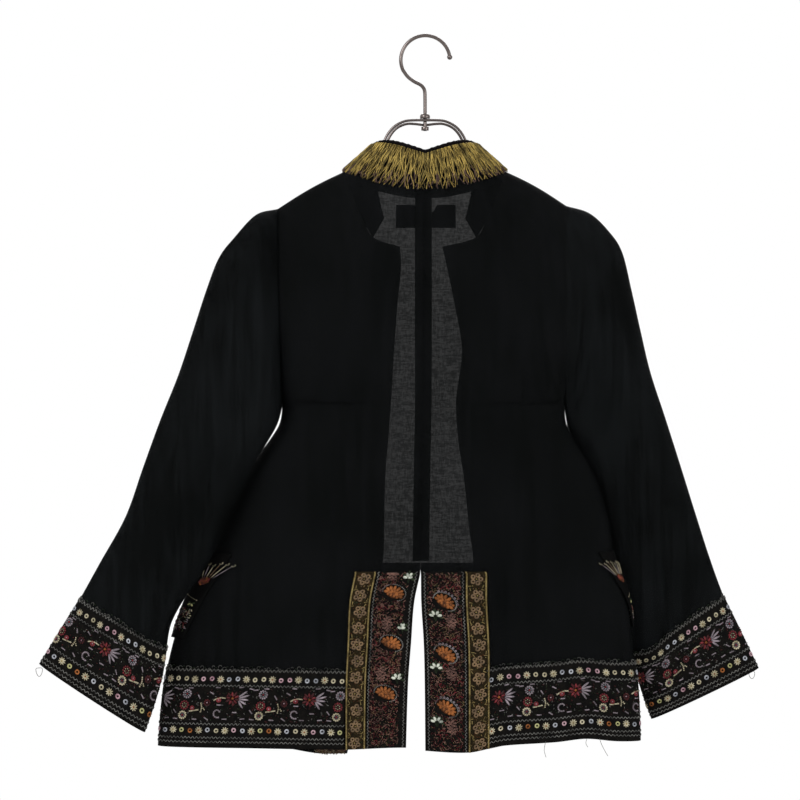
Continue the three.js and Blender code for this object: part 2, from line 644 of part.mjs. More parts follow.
// A band that runs down beside an open edge, between two distances from that edge.
function edgeBand(grid, topZ, from, to, inner, outer, widthStops, extraRows = [], raise) {
  const rows = stops(rowOfZ(grid, 0, topZ), grid.rows - 1, extraRows);
  const widths = widthStops.map((share) => THREE.MathUtils.lerp(from, to, share));
  const columnAt = (r, width) => columnOfWidth(grid, r, width);
  return band(grid, rows, widths, (r) => r, columnAt, inner, outer, raise);
}

// Fan appliques down a vent band: a row for each, by its distance above the hem.
const FANS = [
  { rise: 58 },
  { rise: 114 },
  { rise: 168 },
];
const FAN = { across: 12.5, along: 9.5, row: 8, columns: 6, centre: { left: 0.6, right: 0.45 } };

function fanHeight(side) {
  return (p, r, c) => {
    const away = FANS.map(({ rise }) => {
      const across = ((c / FAN.columns - FAN.centre[side]) * VENT_BAND) / FAN.across;
      const along = (p.z - (HEM_Z + rise)) / FAN.along;
      return across * across + along * along;
    });
    const inside = r > 0 && c > 0 && c < FAN.columns && Math.min(...away) < 1;
    return inside ? APPLIQUE : 0;
  };
}

SIDES.forEach((side) => {
  const { back, front, sleeve } = body[side];
  const across = range(FAN.columns + 1).map((i) => i / FAN.columns);
  const fanRows = FANS.flatMap(({ rise }) =>
    [-FAN.row, 0, FAN.row].map((shift) => rowOfZ(back, 0, HEM_Z + rise + shift)),
  );
  const top = VENT_BAND_TOP_Z;
  const raised = fanHeight(side);
  piece(
    `vent_band_${side}`,
    edgeBand(back, top, 0, VENT_BAND, ON_CLOTH, ON_CLOTH + TRIM, across, fanRows, raised),
    COLOURS.embroidery,
  );
  piece(
    `vent_gold_${side}`,
    edgeBand(back, top, GOLD_START, GOLD_END, ON_CLOTH, ON_CLOTH + GOLD_TRIM, [0, 0.5, 1]),
    COLOURS.gold,
  );
  piece(
    `vent_facing_${side}`,
    edgeBand(back, FACING_TOP_Z, 0, GOLD_END, UNDER_CLOTH - CLOTH, UNDER_CLOTH, [0, 0.33, 0.66, 1]),
    COLOURS.voile,
  );
  piece(
    `front_band_${side}`,
    edgeBand(front, top, 0, FRONT_BAND, ON_CLOTH, ON_CLOTH + TRIM, [0, 0.33, 0.66, 1]),
    COLOURS.embroidery,
  );

  // Hem bands run from the band beside the open edge to the side seam.
  [
    { grid: back, name: "back", start: GOLD_END + SEAM },
    { grid: front, name: "front", start: FRONT_BAND + SEAM },
  ].forEach(({ grid, name, start }) => {
    const first = columnOfWidth(grid, LAST_ROW - 1, start);
    const columns = stops(first, SIDE_COLUMNS);
    const columnAt = (r, c) => {
      const edge = columnOfWidth(grid, r, start);
      return c === first ? edge : Math.max(c, edge + 0.02 * (c - first));
    };
    const rows = [0, LAST_ROW - 1, LAST_ROW];
    const rowAt = (row, c) => row || rowOfZ(grid, c, sample(grid, LAST_ROW, c).at.z + HEM_BAND);
    piece(
      `hem_${name}_${side}`,
      band(grid, rows, columns, rowAt, (row, c) => columnAt(rowAt(row, c), c), ON_CLOTH, ON_CLOTH + TRIM),
      COLOURS.embroidery,
    );
  });

  // The cuff's band goes all round the sleeve's end.
  const cuff = { rows: 4, columns: SLEEVE_COLUMNS, closed: true };
  cuff.at = range(4).map((r) => sleeve.at[CUFF_TOP_RING + r]);
  cuff.out = range(4).map((r) => sleeve.out[CUFF_TOP_RING + r]);
  piece(`cuff_band_${side}`, shell(cuff, ON_CLOTH, ON_CLOTH + TRIM), COLOURS.embroidery);
});

// ---------------------------------------------------------------- inside the back
const TAPE = { width: 12, top: 0.12, reach: 4.6 }; // its top row, and columns each way
const ALLOWANCE = { width: 9, top: -187, bottom: -574 }; // of one side of the centre seam

// The row at which the centre seam reaches a height, from the neck down.
function rowOfZFromTop(grid, z) {
  for (let r = 0; r < TOP_ROWS; r++) {
    const [a, b] = [grid.at[r][0].z, grid.at[r + 1][0].z];
    if (b <= z) return r + (a - z) / (a - b);
  }
  return TOP_ROWS;
}

SIDES.forEach((side) => {
  const { back } = body[side];
  const end = rowOfZ(back, 0, ALLOWANCE.bottom);
  const start = rowOfZFromTop(back, ALLOWANCE.top);
  const widths = [0, 0.5, 1];
  const strip = band(
    back,
    stops(start, end),
    widths,
    (r) => r,
    (r, share) => columnOfWidth(back, r, share * ALLOWANCE.width),
    UNDER_CLOTH - CLOTH,
    UNDER_CLOTH,
  );
  piece(`seam_allowance_${side}`, strip, COLOURS.voile);
});

// Both half backs side by side, as one grid for what crosses the centre seam.
const wholeBack = { rows: LAST_ROW + 1, columns: 2 * SIDE_COLUMNS + 2, closed: false };
["at", "out"].forEach((field) => {
  wholeBack[field] = range(LAST_ROW + 1).map((r) => [
    ...[...body.left.back[field][r]].reverse(),
    ...body.right.back[field][r],
  ]);
});
const MIDDLE = SIDE_COLUMNS + 0.5; // the centre seam's place in the whole back

piece(
  "neck_tape",
  band(
    wholeBack,
    [0, 0.5, 1],
    stops(MIDDLE - 0.5 - TAPE.reach, MIDDLE + 0.5 + TAPE.reach),
    (share, c) => {
      const nearest = Math.round(c);
      const depth = wholeBack.at[0][nearest].z - TAPE.width;
      const row = range(TOP_ROWS).find((r) => wholeBack.at[r + 1][nearest].z < depth);
      const [a, b] = [wholeBack.at[row][nearest].z, wholeBack.at[row + 1][nearest].z];
      return THREE.MathUtils.lerp(TAPE.top, row + (a - depth) / (a - b), share);
    },
    (r, c) => c,
    UNDER_CLOTH - CLOTH,
    UNDER_CLOTH,
  ),
  COLOURS.voile,
);

// The label: reach is in columns each way from the centre seam, and its top edge dips there.
const LABEL = { top: -187.5, bottom: -212.5, reach: 1.6, dip: 8, wall: 0.8 };
const labelDepth = UNDER_CLOTH - CLOTH - SEAM;
piece(
  "neck_label",
  (() => {
    const rows = [0, 0.5, 1];
    const columns = stops(MIDDLE - LABEL.reach, MIDDLE + LABEL.reach, [MIDDLE - 0.5, MIDDLE + 0.5]);
    const rowAt = (share, c) => {
      const dip = Math.abs(c - MIDDLE) < 0.55 ? LABEL.dip : 0;
      const z = THREE.MathUtils.lerp(LABEL.top - dip, LABEL.bottom, share);
      return rowOfZFromTop(c < MIDDLE ? body.left.back : body.right.back, z);
    };
    return band(wholeBack, rows, columns, rowAt, (r, c) => c, labelDepth - LABEL.wall, labelDepth);
  })(),
  COLOURS.label,
);

// ---------------------------------------------------------------- pocket welts
// Each welt leans round the side fold. It lies on back and front together.
const POCKET = {
  left: { top: { round: -2.6, z: -568 }, bottom: { round: 0.6, z: -652 }, width: 1.7 },
  right: { top: { round: -0.9, z: -571 }, bottom: { round: 1.6, z: -648 }, width: 1.4 },
};
const WELT_CLEAR = 1.2; // the folded welt stands off the panel it is sewn to

SIDES.forEach((side) => {
  const { back, front } = body[side];
  const round = { rows: LAST_ROW + 1, columns: 2 * SIDE_COLUMNS + 2, closed: false };
  ["at", "out"].forEach((field) => {
    round[field] = range(LAST_ROW + 1).map((r) => [...back[field][r], ...[...front[field][r]].reverse()]);
  });
  const { top, bottom, width } = POCKET[side];
  const along = range(9).map((i) => i / 8);
  const across = [-0.5, -0.25, 0, 0.25, 0.5];
  const columnAt = (t, a) => MIDDLE + THREE.MathUtils.lerp(top.round, bottom.round, t) + a * width;
  const rowAt = (t) => rowOfZ(back, SIDE_COLUMNS, THREE.MathUtils.lerp(top.z, bottom.z, t));
  const lift = ON_CLOTH + WELT_CLEAR;
  const geometry = band(round, along, across, rowAt, columnAt, lift, lift + WELT);
  piece(`pocket_welt_${side}`, geometry, COLOURS.embroidery);
});

// ---------------------------------------------------------------- collar binding and fringe
const BINDING = { height: 3, wall: 3.2 };
function collarEdgeGrid(rise0, rise1) {
  const top = COLLAR_ROWS;
  const grid = { rows: 2, columns: collar.columns, closed: false };
  const lift = (c) => collar.at[top][c].clone().sub(collar.at[top - 1][c]).normalize();
  grid.at = [rise0, rise1].map((rise) =>
    range(collar.columns).map((c) => collar.at[top][c].clone().addScaledVector(lift(c), rise)),
  );
  grid.out = [0, 1].map(() => collar.out[top].map((normal) => normal.clone()));
  return grid;
}
piece(
  "collar_binding",
  shell(collarEdgeGrid(SEAM, SEAM + BINDING.height), -BINDING.wall / 2, BINDING.wall / 2),
  COLOURS.binding,
);

// The fringe: a narrow tape under the binding and strands fused to it by their roots.
const FRINGE_TAPE = { from: 3.5, to: 3.9, wall: 1.5 };
const STRAND = { width: 1.5, depth: 1.0, off: 0.3 };
const onCollar = COLLAR_WALL / 2 + SEAM;

function strand(root, tip, side, out) {
  const corners = (p, scale) => [
    p.clone().addScaledVector(side, (-STRAND.width / 2) * scale),
    p.clone().addScaledVector(side, (STRAND.width / 2) * scale),
    p.clone().addScaledVector(out, STRAND.depth * scale),
  ];
  const ring = [...corners(root, 1), ...corners(tip, 0.75)];
  const faces = [0, 1, 2, 3, 5, 4, 0, 3, 1, 1, 3, 4, 1, 4, 2, 2, 4, 5, 2, 5, 0, 0, 5, 3];
  return facingOut(ring.flatMap((p) => [p.x, p.y, p.z]), faces);
}

function fringe() {
  const columns = range(collar.columns);
  const { from, to, wall } = FRINGE_TAPE;
  const tape = band(collar, [from, to], columns, (r) => r, (r, c) => c, onCollar, onCollar + wall);
  const strands = range(FRINGE_STRANDS).map((i) => {
    const c = 0.12 + ((collar.columns - 1.24) * i) / (FRINGE_STRANDS - 1);
    const root = sample(collar, (from + to) / 2, c);
    const below = sample(collar, 0.35, c);
    const next = sample(collar, from, Math.min(c + 0.1, collar.columns - 1));
    const side = next.at.sub(sample(collar, from, c).at).normalize();
    const rootAt = root.at.clone().addScaledVector(root.out, onCollar + STRAND.off);
    const foot = below.at.clone().addScaledVector(below.out, onCollar + STRAND.off);
    const towards = foot.sub(rootAt);
    const uneven = 0.9 + 0.1 * Math.sin(i * 2.4) * Math.cos(i * 0.7);
    const length = Math.min(FRINGE_LENGTH, towards.length()) * uneven;
    const tip = rootAt.clone().addScaledVector(towards.normalize(), length);
    return toSolid(strand(rootAt, tip, side, root.out.clone().normalize()));
  });
  return fromSolid(wasm.Manifold.union([toSolid(tape), ...strands]));
}
piece("collar_fringe", fringe(), COLOURS.fringe);

// ---------------------------------------------------------------- hanger
const metal = { roughness: 0.3, metalness: 1 };

function wire(points, radius, steps, sides) {
  const outline = new THREE.Shape(
    range(sides).map((i) => {
      const angle = (2 * Math.PI * i) / sides;
      return new THREE.Vector2(radius * Math.cos(angle), radius * Math.sin(angle));
    }),
  );
  const path = new THREE.CatmullRomCurve3(points, false, "centripetal");
  return new THREE.ExtrudeGeometry(outline, { steps, bevelEnabled: false, extrudePath: path });
}

function hook() {
  const { radius, wire: wireRadius, ball, centre, from, to, steps } = HOOK;
  const arc = range(steps + 1).map((i) => {
    const angle = THREE.MathUtils.degToRad(THREE.MathUtils.lerp(from, to, i / steps));
    return v3(centre.x + radius * Math.cos(angle), 0, centre.z + radius * Math.sin(angle));
  });
  const foot = HOOK_FOOT.map(({ x, z }) => v3(x, 0, z));
  const path = [...arc, ...foot, v3(0, 0, STEM_BOTTOM_Z)];
  const tip = new THREE.SphereGeometry(ball, 8, 6).translate(arc[0].x, 0, arc[0].z);
  return fromSolid(toSolid(wire(path, wireRadius, 32, 8)).add(toSolid(tip)));
}

// A turned nut round the stem, as a closed ring.
function nut({ outer, bottom, height, domed }) {
  const bore = HOOK.wire + SEAM;
  const top = bottom + height;
  const shoulder = domed ? outer * 0.55 : outer;
  const profile = [
    [bore, bottom],
    [outer, bottom],
    [outer, bottom + height * 0.55],
    [shoulder, top],
    [bore, top],
    [bore, bottom],
  ].map(([r, z]) => new THREE.Vector2(r, z));
  return new THREE.LatheGeometry(profile, 12).rotateX(Math.PI / 2);
}

function hangerWire(front) {
  const sign = front ? 1 : -1;
  const half = HANGER_WIRE.map(({ x, z, spread }) => {
    const drop = front ? FRONT_WIRE_DROP * THREE.MathUtils.clamp(1 - x / 45, 0, 1) : 0;
    return v3(x, sign * spread, z - drop);
  });
  const mirrored = [...half].reverse().slice(0, -1).map((p) => v3(-p.x, p.y, p.z));
  return wire([...mirrored, ...half], WIRE_RADIUS, 42, 6);
}

piece("hanger_hook", hook(), COLOURS.metal, metal);
piece("hanger_nut", nut(NUT), COLOURS.metal, metal);
piece("hanger_lock_nut", nut(LOCK_NUT), COLOURS.metal, metal);
piece("hanger_wire_back", hangerWire(false), COLOURS.metal, metal);
piece("hanger_wire_front", hangerWire(true), COLOURS.metal, metal);

export default jacket;
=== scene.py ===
"""Sheer embroidered jacket on a wire hanger, dressed over its CAD frame."""

import json
import math

import bmesh
import bpy
import numpy as np
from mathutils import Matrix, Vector

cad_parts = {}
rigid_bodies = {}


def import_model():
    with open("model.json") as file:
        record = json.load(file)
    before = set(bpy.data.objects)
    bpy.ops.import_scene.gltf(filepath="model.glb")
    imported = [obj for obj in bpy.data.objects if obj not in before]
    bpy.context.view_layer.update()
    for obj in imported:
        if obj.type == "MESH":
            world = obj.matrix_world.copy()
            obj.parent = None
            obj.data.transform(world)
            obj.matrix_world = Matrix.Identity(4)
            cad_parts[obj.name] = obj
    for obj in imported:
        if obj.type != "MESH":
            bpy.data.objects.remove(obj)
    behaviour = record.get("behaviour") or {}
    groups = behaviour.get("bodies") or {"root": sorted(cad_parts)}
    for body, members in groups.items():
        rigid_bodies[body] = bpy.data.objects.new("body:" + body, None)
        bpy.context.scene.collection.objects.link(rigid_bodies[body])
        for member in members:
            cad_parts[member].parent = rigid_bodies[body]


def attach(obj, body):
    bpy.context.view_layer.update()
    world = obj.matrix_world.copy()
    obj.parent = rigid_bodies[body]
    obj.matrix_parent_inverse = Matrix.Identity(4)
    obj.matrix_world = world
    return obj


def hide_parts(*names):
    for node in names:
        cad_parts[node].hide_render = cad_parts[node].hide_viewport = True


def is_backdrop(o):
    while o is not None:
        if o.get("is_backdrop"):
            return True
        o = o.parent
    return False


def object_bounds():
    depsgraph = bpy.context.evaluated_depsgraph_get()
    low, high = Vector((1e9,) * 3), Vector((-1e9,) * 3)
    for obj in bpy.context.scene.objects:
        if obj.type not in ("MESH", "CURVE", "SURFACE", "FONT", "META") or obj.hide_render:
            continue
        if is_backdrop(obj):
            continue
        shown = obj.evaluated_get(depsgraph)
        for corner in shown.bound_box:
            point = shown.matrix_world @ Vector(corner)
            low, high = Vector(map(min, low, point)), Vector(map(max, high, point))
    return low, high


bl_info = {
    "name": "Embroidered Jacket",
    "version": (1, 0, 0),
    "blender": (4, 5, 0),
    "location": "View3D > Sidebar > Jacket",
    "description": "Builds a sheer embroidered jacket on its wire hanger",
    "category": "Object",
}

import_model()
CAD_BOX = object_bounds()

# ------------------------------------------------------------------ the cut, in millimetres
# +Z is up from the inside top of the hook, and the back faces -Y. Sides are as seen from behind.
MM = 0.001
UNDERARM_Z = -402.4
VENT_TOP_Z = -587.2
BAND_TOP_Z = -585.5
HEM_Z = -779.0
HEM_BAND = 86.0
CUFF_BAND = 84.0
VENT_BAND = 45.0
GOLD_START = 45.3
GOLD_END = 67.3
FRONT_BAND = 40.0
BODY_POWER = 2.6
SLEEVE_POWER = 2.2
ARMHOLE_POWER = 1.6
HALF_STEPS = 12  # steps of the pattern across a half back or front
SIDES = ("left", "right")
SIGN = {"left": -1.0, "right": 1.0}
DEPTH = {"back": -1.0, "front": 1.0}


def table(names, *rows):
    """Rows of numbers as a dictionary of named columns."""
    return {name: np.array([row[i] for row in rows], float) for i, name in enumerate(names.split())}


# Side folds, centre seam and half depths of the body by height.
SECTION = table(
    "z left right seam back front",
    (-402.4, -156.2, 152.9, -2.2, 42, 44),
    (-425.0, -159.5, 155.0, -2.5, 42, 44),
    (-443.1, -170.5, 163.6, -2.9, 42, 43.5),
    (-460.0, -183.0, 174.5, -3.3, 41.5, 43),
    (-487.1, -200.0, 188.1, -3.7, 41, 42),
    (-531.1, -222.5, 201.3, -4.4, 40, 40),
    (-575.1, -242.5, 207.9, -5.0, 38, 38),
    (-619.1, -261.8, 222.2, -7.7, 36, 36),
    (-663.1, -276.1, 227.2, -8.2, 34, 34),
    (-718.1, -287.7, 234.3, -9.9, 32, 32),
    (-800.0, -294.5, 237.0, -11.0, 31, 31),
)
VENT = table(
    "z left right",
    (-587.2, -5.4, -4.8),
    (-619.1, -12.1, -4.4),
    (-663.1, -15.4, -1.7),
    (-707.1, -18.7, -0.6),
    (-800.0, -21.5, 0.2),
)
FRONT_EDGE = table(
    "z left right",
    (-227.5, -27.5, 19.8),
    (-251.7, -26.4, 25.3),
    (-289.1, -30.1, 33.0),
    (-344.1, -34.1, 41.8),
    (-399.1, -37.4, 35.2),
    (-443.1, -40.7, 37.4),
    (-487.1, -44.0, 44.0),
    (-542.1, -45.1, 49.5),
    (-575.1, -46.2, 53.9),
    (-663.1, -58.3, 55.0),
    (-800.0, -88.0, 57.5),
)
HEM = table(
    "x back front",
    (-294, -778.6, -778.6),
    (-199, -778.6, -778.6),
    (-155, -779.1, -785.2),
    (-115, -779.7, -791.8),
    (-86, -779.7, -791.8),
    (-21, -777.5, -791.8),
    (0, -780.8, -773.1),
    (46, -783.0, -774.2),
    (70, -778.6, -774.2),
    (87, -775.3, -774.2),
    (142, -772.0, -772.0),
    (175, -768.7, -769.8),
    (208, -772.0, -772.0),
    (237, -773.1, -773.1),
)
# Neck seam from the centre back to the front corner, and the collar's top edge above it.
NECK = table(
    "i x y z",
    (0, 0.0, -48, -168.1),
    (1, 22.5, -46, -166.4),
    (2, 44.0, -40, -161.5),
    (3, 62.5, -30, -156.0),
    (4, 76.5, -19, -151.0),
    (5, 84.5, -8, -148.0),
    (6, 86.5, 0, -147.2),
    (7, 86.0, 9, -152.2),
    (8, 83.5, 19, -160.5),
    (9, 78.0, 30, -176.0),
    (10, 69.5, 40, -196.0),
    (11, 57.5, 46, -217.6),
)
COLLAR_TOP = table(
    "i x y z",
    (0, 0.0, -40, -130.7),
    (1, 14.0, -38.5, -126.0),
    (2, 28.0, -35, -121.5),
    (3, 40.0, -30, -118.8),
    (4, 50.0, -22, -118.5),
    (5, 56.5, -12, -121.0),
    (6, 59.0, -2, -127.5),
    (7, 59.0, 8, -137.0),
    (8, 57.5, 18, -151.0),
    (9, 55.0, 27, -168.0),
    (10, 51.5, 35, -184.6),
    (11, 47.0, 41, -199.0),
)
NECK_END = 11
FRONT_CORNER = {"y": 50.0, "z": -227.5}
SLEEVE_COLUMNS = "r ox oz ix iz y depth"
SLEEVE = {
    "left": table(
        SLEEVE_COLUMNS,
        (0, -161.7, -189.0, -156.2, -402.4, 0, 38),
        (1, -184.8, -196.7, -161.8, -425.0, -18, 34),
        (2, -207.9, -222.0, -172.5, -445.0, -27, 31),
        (3, -224.4, -244.0, -184.8, -465.1, -29, 31),
        (4, -237.6, -278.1, -195.8, -487.1, -31, 30),
        (5, -251.9, -322.1, -205.7, -509.1, -32, 29),
        (6, -268.4, -371.6, -216.7, -531.1, -32, 28),
        (7, -288.2, -421.1, -227.7, -558.6, -32, 27),
        (8, -306.9, -472.8, -242.0, -586.1, -33, 25),
        (9, -325.6, -525.6, -260.7, -612.5, -34, 22),
        (10, -353.1, -575.1, -276.3, -641.1, -33, 19),
        (11, -375.1, -614.7, -281.7, -668.6, -34, 17),
        (12, -389.8, -638.5, -286.5, -698.0, -34, 17),
        (13, -404.4, -662.4, -295.0, -729.0, -34, 16),
        (14, -419.1, -686.2, -305.8, -759.9, -34, 15),
    ),
    "right": table(
        SLEEVE_COLUMNS,
        (0, 155.1, -185.7, 152.9, -402.4, 0, 38),
        (1, 181.5, -192.3, 157.8, -427.0, 18, 34),
        (2, 202.4, -209.9, 163.5, -448.8, 28, 31),
        (3, 218.9, -234.1, 173.8, -469.5, 32, 30),
        (4, 229.9, -278.1, 183.7, -487.1, 33, 30),
        (5, 239.8, -322.1, 190.3, -505.8, 34, 29),
        (6, 250.8, -368.3, 196.9, -525.6, 34, 28),
        (7, 267.3, -418.9, 200.6, -547.6, 34, 27),
        (8, 283.8, -470.6, 207.8, -577.3, 34, 25),
        (9, 300.3, -523.4, 221.6, -605.9, 34, 22),
        (10, 316.8, -575.1, 223.0, -638.9, 33, 19),
        (11, 332.2, -616.9, 231.0, -679.6, 34, 17),
        (12, 345.0, -643.7, 236.5, -704.2, 34, 17),
        (13, 357.9, -670.4, 244.0, -728.7, 34, 16),
        (14, 370.7, -697.2, 253.0, -753.3, 34, 15),
    ),
}
CUFF_TOP = 11.0
SLEEVE_END = 14.0

# Long folds of a sleeve: degrees round it from its outer edge over the back, and how far each drifts.
SLEEVE_FOLDS = table(
    "around width depth start end drift",
    (55, 16, -3.2, 2, 11, 0),
    (88, 14, 2.6, 3, 12, 0),
    (118, 13, -3.4, 1, 10, 0),
    (150, 12, 2.2, 4, 11, 0),
    (230, 16, -2.8, 2, 11, 0),
    (290, 18, 2.6, 3, 12, 0),
    (70, 6, 1.3, 1.5, 7.5, 16),
    (103, 5, -1.1, 4.0, 10.5, -14),
    (135, 7, 1.2, 2.5, 8.0, 12),
    (40, 6, 1.0, 5.5, 10.8, 10),
    (255, 7, 1.2, 2.0, 8.5, -12),
    (310, 6, -1.1, 4.5, 10.5, 14),
)
# Soft creases of the body, from one end to the other: ridges stand out, troughs go in.
BACK_CREASES = table(
    "x0 z0 x1 z1 width depth",
    (-150, -395, -95, -310, 9, 1.6),
    (-152, -410, -70, -370, 8, -1.3),
    (148, -395, 92, -305, 9, 1.5),
    (150, -412, 74, -385, 8, -1.2),
    (-118, -440, -150, -690, 13, 1.9),
    (-76, -470, -96, -680, 12, -1.6),
    (-180, -520, -216, -700, 12, -1.7),
    (-38, -430, -50, -560, 9, 1.0),
    (62, -450, 84, -670, 13, 1.8),
    (112, -500, 140, -690, 12, -1.7),
    (158, -520, 184, -700, 11, 1.5),
    (34, -520, 40, -575, 8, -0.9),
    (-100, -200, -60, -290, 12, 0.9),
    (96, -200, 62, -280, 12, 0.9),
)
FRONT_CREASES = table(
    "x0 z0 x1 z1 width depth",
    (-148, -395, -88, -320, 9, 1.6),
    (146, -395, 90, -315, 9, 1.5),
    (-110, -430, -160, -690, 13, 2.0),
    (-70, -440, -98, -700, 11, -1.7),
    (-190, -530, -222, -690, 12, 1.5),
    (80, -430, 96, -700, 12, 1.9),
    (130, -470, 160, -690, 12, -1.7),
    (176, -540, 200, -690, 10, 1.4),
    (-84, -230, -70, -340, 11, 1.0),
    (70, -235, 64, -330, 11, -0.9),
)
CREASES = {"back": BACK_CREASES, "front": FRONT_CREASES}


# ------------------------------------------------------------------ the surfaces
def column(rows, by, name, at):
    """A column of a table at other heights or places, as a smooth curve through its rows."""
    x, y = rows[by], rows[name]
    if x[0] > x[-1]:
        x, y = x[::-1], y[::-1]
    slope = np.empty_like(y)
    slope[1:-1] = (y[2:] - y[:-2]) / (x[2:] - x[:-2])
    slope[0] = (y[1] - y[0]) / (x[1] - x[0])
    slope[-1] = (y[-1] - y[-2]) / (x[-1] - x[-2])
    at = np.clip(np.asarray(at, float), x[0], x[-1])
    i = np.clip(np.searchsorted(x, at, side="right") - 1, 0, len(x) - 2)
    step = x[i + 1] - x[i]
    t = (at - x[i]) / step
    return (
        (2 * t**3 - 3 * t**2 + 1) * y[i]
        + (t**3 - 2 * t**2 + t) * slope[i] * step
        + (3 * t**2 - 2 * t**3) * y[i + 1]
        + (t**3 - t**2) * slope[i + 1] * step
    )


def power(value, p):
    return np.sign(value) * np.abs(value) ** (2 / p)


def points(x, y, z):
    return np.stack(np.broadcast_arrays(x, y, z), -1).astype(float)


def mix(a, b, t):
    return a + (b - a) * t


def crease(side, face, x, z):
    """How far the cloth stands out at a place, fading towards the side folds."""
    total = np.zeros(np.broadcast(x, z).shape)
    rows = CREASES[face]
    for k in range(len(rows["x0"])):
        start = np.array([rows["x0"][k], rows["z0"][k]])
        run = np.array([rows["x1"][k], rows["z1"][k]]) - start
        along = ((x - start[0]) * run[0] + (z - start[1]) * run[1]) / (run @ run)
        off = ((x - start[0]) * run[1] - (z - start[1]) * run[0]) / math.hypot(*run)
        end = np.sin(np.pi * np.clip(along, 0, 1)) ** 0.8
        total = total + rows["depth"][k] * end * np.exp(-((off / rows["width"][k]) ** 2))
    seam = column(SECTION, "z", "seam", z)
    fold = column(SECTION, "z", side, z)
    share = np.clip((x - seam) / (fold - seam), 0, 1)
    return total * (1 - share**6)


def section(side, face, z, angle):
    """x and y of the body at a height, from the centre (0) to the side fold."""
    seam = column(SECTION, "z", "seam", z)
    fold = column(SECTION, "z", side, z)
    x = seam + (fold - seam) * power(np.sin(angle), BODY_POWER)
    y = DEPTH[face] * column(SECTION, "z", face, z) * power(np.maximum(np.cos(angle), 0), BODY_POWER)
    return x, y


def angle_at(side, z, x):
    seam = column(SECTION, "z", "seam", z)
    fold = column(SECTION, "z", side, z)
    return np.arcsin(np.clip((x - seam) / (fold - seam), 0, 1) ** (BODY_POWER / 2))


def edge_x(side, face, z):
    """Where a half back or front ends towards the centre."""
    if face == "front":
        return column(FRONT_EDGE, "z", side, z)
    return np.where(z < VENT_TOP_Z, column(VENT, "z", side, z), column(SECTION, "z", "seam", z))


def skirt(side, face, t, z):
    """A point below the underarm: t is 0 at the centre edge and 1 at the side fold."""
    seam = column(SECTION, "z", "seam", z)
    edge = edge_x(side, face, z)
    beyond = (edge - seam) * SIGN[side] < 0
    start = np.where(beyond, 0, angle_at(side, z, edge))
    x, y = section(side, face, z, start + (np.pi / 2 - start) * t)
    return points(x + np.where(beyond, (edge - seam) * (1 - t) ** 2, 0), y, z)


def neck_line(side, i):
    corner = abs(float(column(FRONT_EDGE, "z", side, FRONT_CORNER["z"])))
    last = {"i": 12.0, "x": corner, **FRONT_CORNER}
    rows = {name: np.append(NECK[name], last[name]) for name in NECK}
    x, y, z = (column(rows, "i", name, i) for name in "xyz")
    return points(SIGN[side] * x, y, z)


def sleeve_ring(side, r, turn):
    """A point on a sleeve: r counts rings from the armhole, turn goes round from the outer edge."""
    ring = {name: column(SLEEVE[side], "r", name, r) for name in ("ox", "oz", "ix", "iz", "y", "depth")}
    p = mix(ARMHOLE_POWER, SLEEVE_POWER, np.clip(r, 0, 1))
    across, deep = power(np.cos(turn), p), power(np.sin(turn), p)
    degrees = np.degrees(turn) % 360
    stands = np.zeros(np.broadcast(r, turn).shape)
    for k in range(len(SLEEVE_FOLDS["around"])):
        fold = {name: values[k] for name, values in SLEEVE_FOLDS.items()}
        reach = np.clip((r - fold["start"]) / (fold["end"] - fold["start"]), 0, 1)
        away = (degrees - fold["around"] - fold["drift"] * (reach - 0.5)) / fold["width"]
        stands = stands + fold["depth"] * np.sin(np.pi * reach) * np.exp(-(away**2))
    return points(
        (ring["ox"] + ring["ix"]) / 2 + across * (ring["ox"] - ring["ix"]) / 2,
        ring["y"] - ring["depth"] * deep - np.sign(np.sin(turn)) * stands,
        (ring["oz"] + ring["iz"]) / 2 + across * (ring["oz"] - ring["iz"]) / 2,
    )


def top_edge(side, face, u):
    """Neck seam, then shoulder seam, of a half back or front."""
    i = u * HALF_STEPS if face == "back" else HALF_STEPS - u * HALF_STEPS
    neck = neck_line(side, np.clip(i, 0, 6) if face == "back" else np.clip(i, 6, 12))
    t = np.clip((u - 0.5) * 2, 0, 1)[..., None]
    shoulder = mix(neck_line(side, 6.0), sleeve_ring(side, 0.0, 0.0), t)
    shoulder[..., 2] += 2.5 * np.sin(np.pi * t[..., 0])
    return np.where(u[..., None] > 0.5, shoulder, neck)


def yoke(side, face, u, w):
    """The upper part spans its four edges, and its depth rises quickly from the shoulder."""
    fall = (1 - np.cos(np.pi * w)) / 2
    blend = np.stack([fall, np.sqrt(np.clip(1 - (1 - fall) ** 2, 0, 1)), fall], -1)
    zero, one = np.zeros_like(u), np.ones_like(u)
    top, c00, c10 = (top_edge(side, face, k) for k in (u, zero, one))
    low = np.full_like(u, UNDERARM_Z)
    bottom, c01, c11 = (skirt(side, face, k, low) for k in (u, zero, one))
    inner = mix(c00, c01, fall[..., None])
    if face == "front":
        inner[..., 0] = edge_x(side, face, inner[..., 2])
    outer = sleeve_ring(side, zero, (1 if face == "back" else -1) * np.pi * w)
    u3 = u[..., None]
    return (
        (1 - blend) * top
        + blend * bottom
        + (1 - u3) * inner
        + u3 * outer
        - (1 - blend) * mix(c00, c10, u3)
        - blend * mix(c01, c11, u3)
    )


def creased(side, face, p):
    p[..., 1] += DEPTH[face] * crease(side, face, p[..., 0], p[..., 2])
    return p


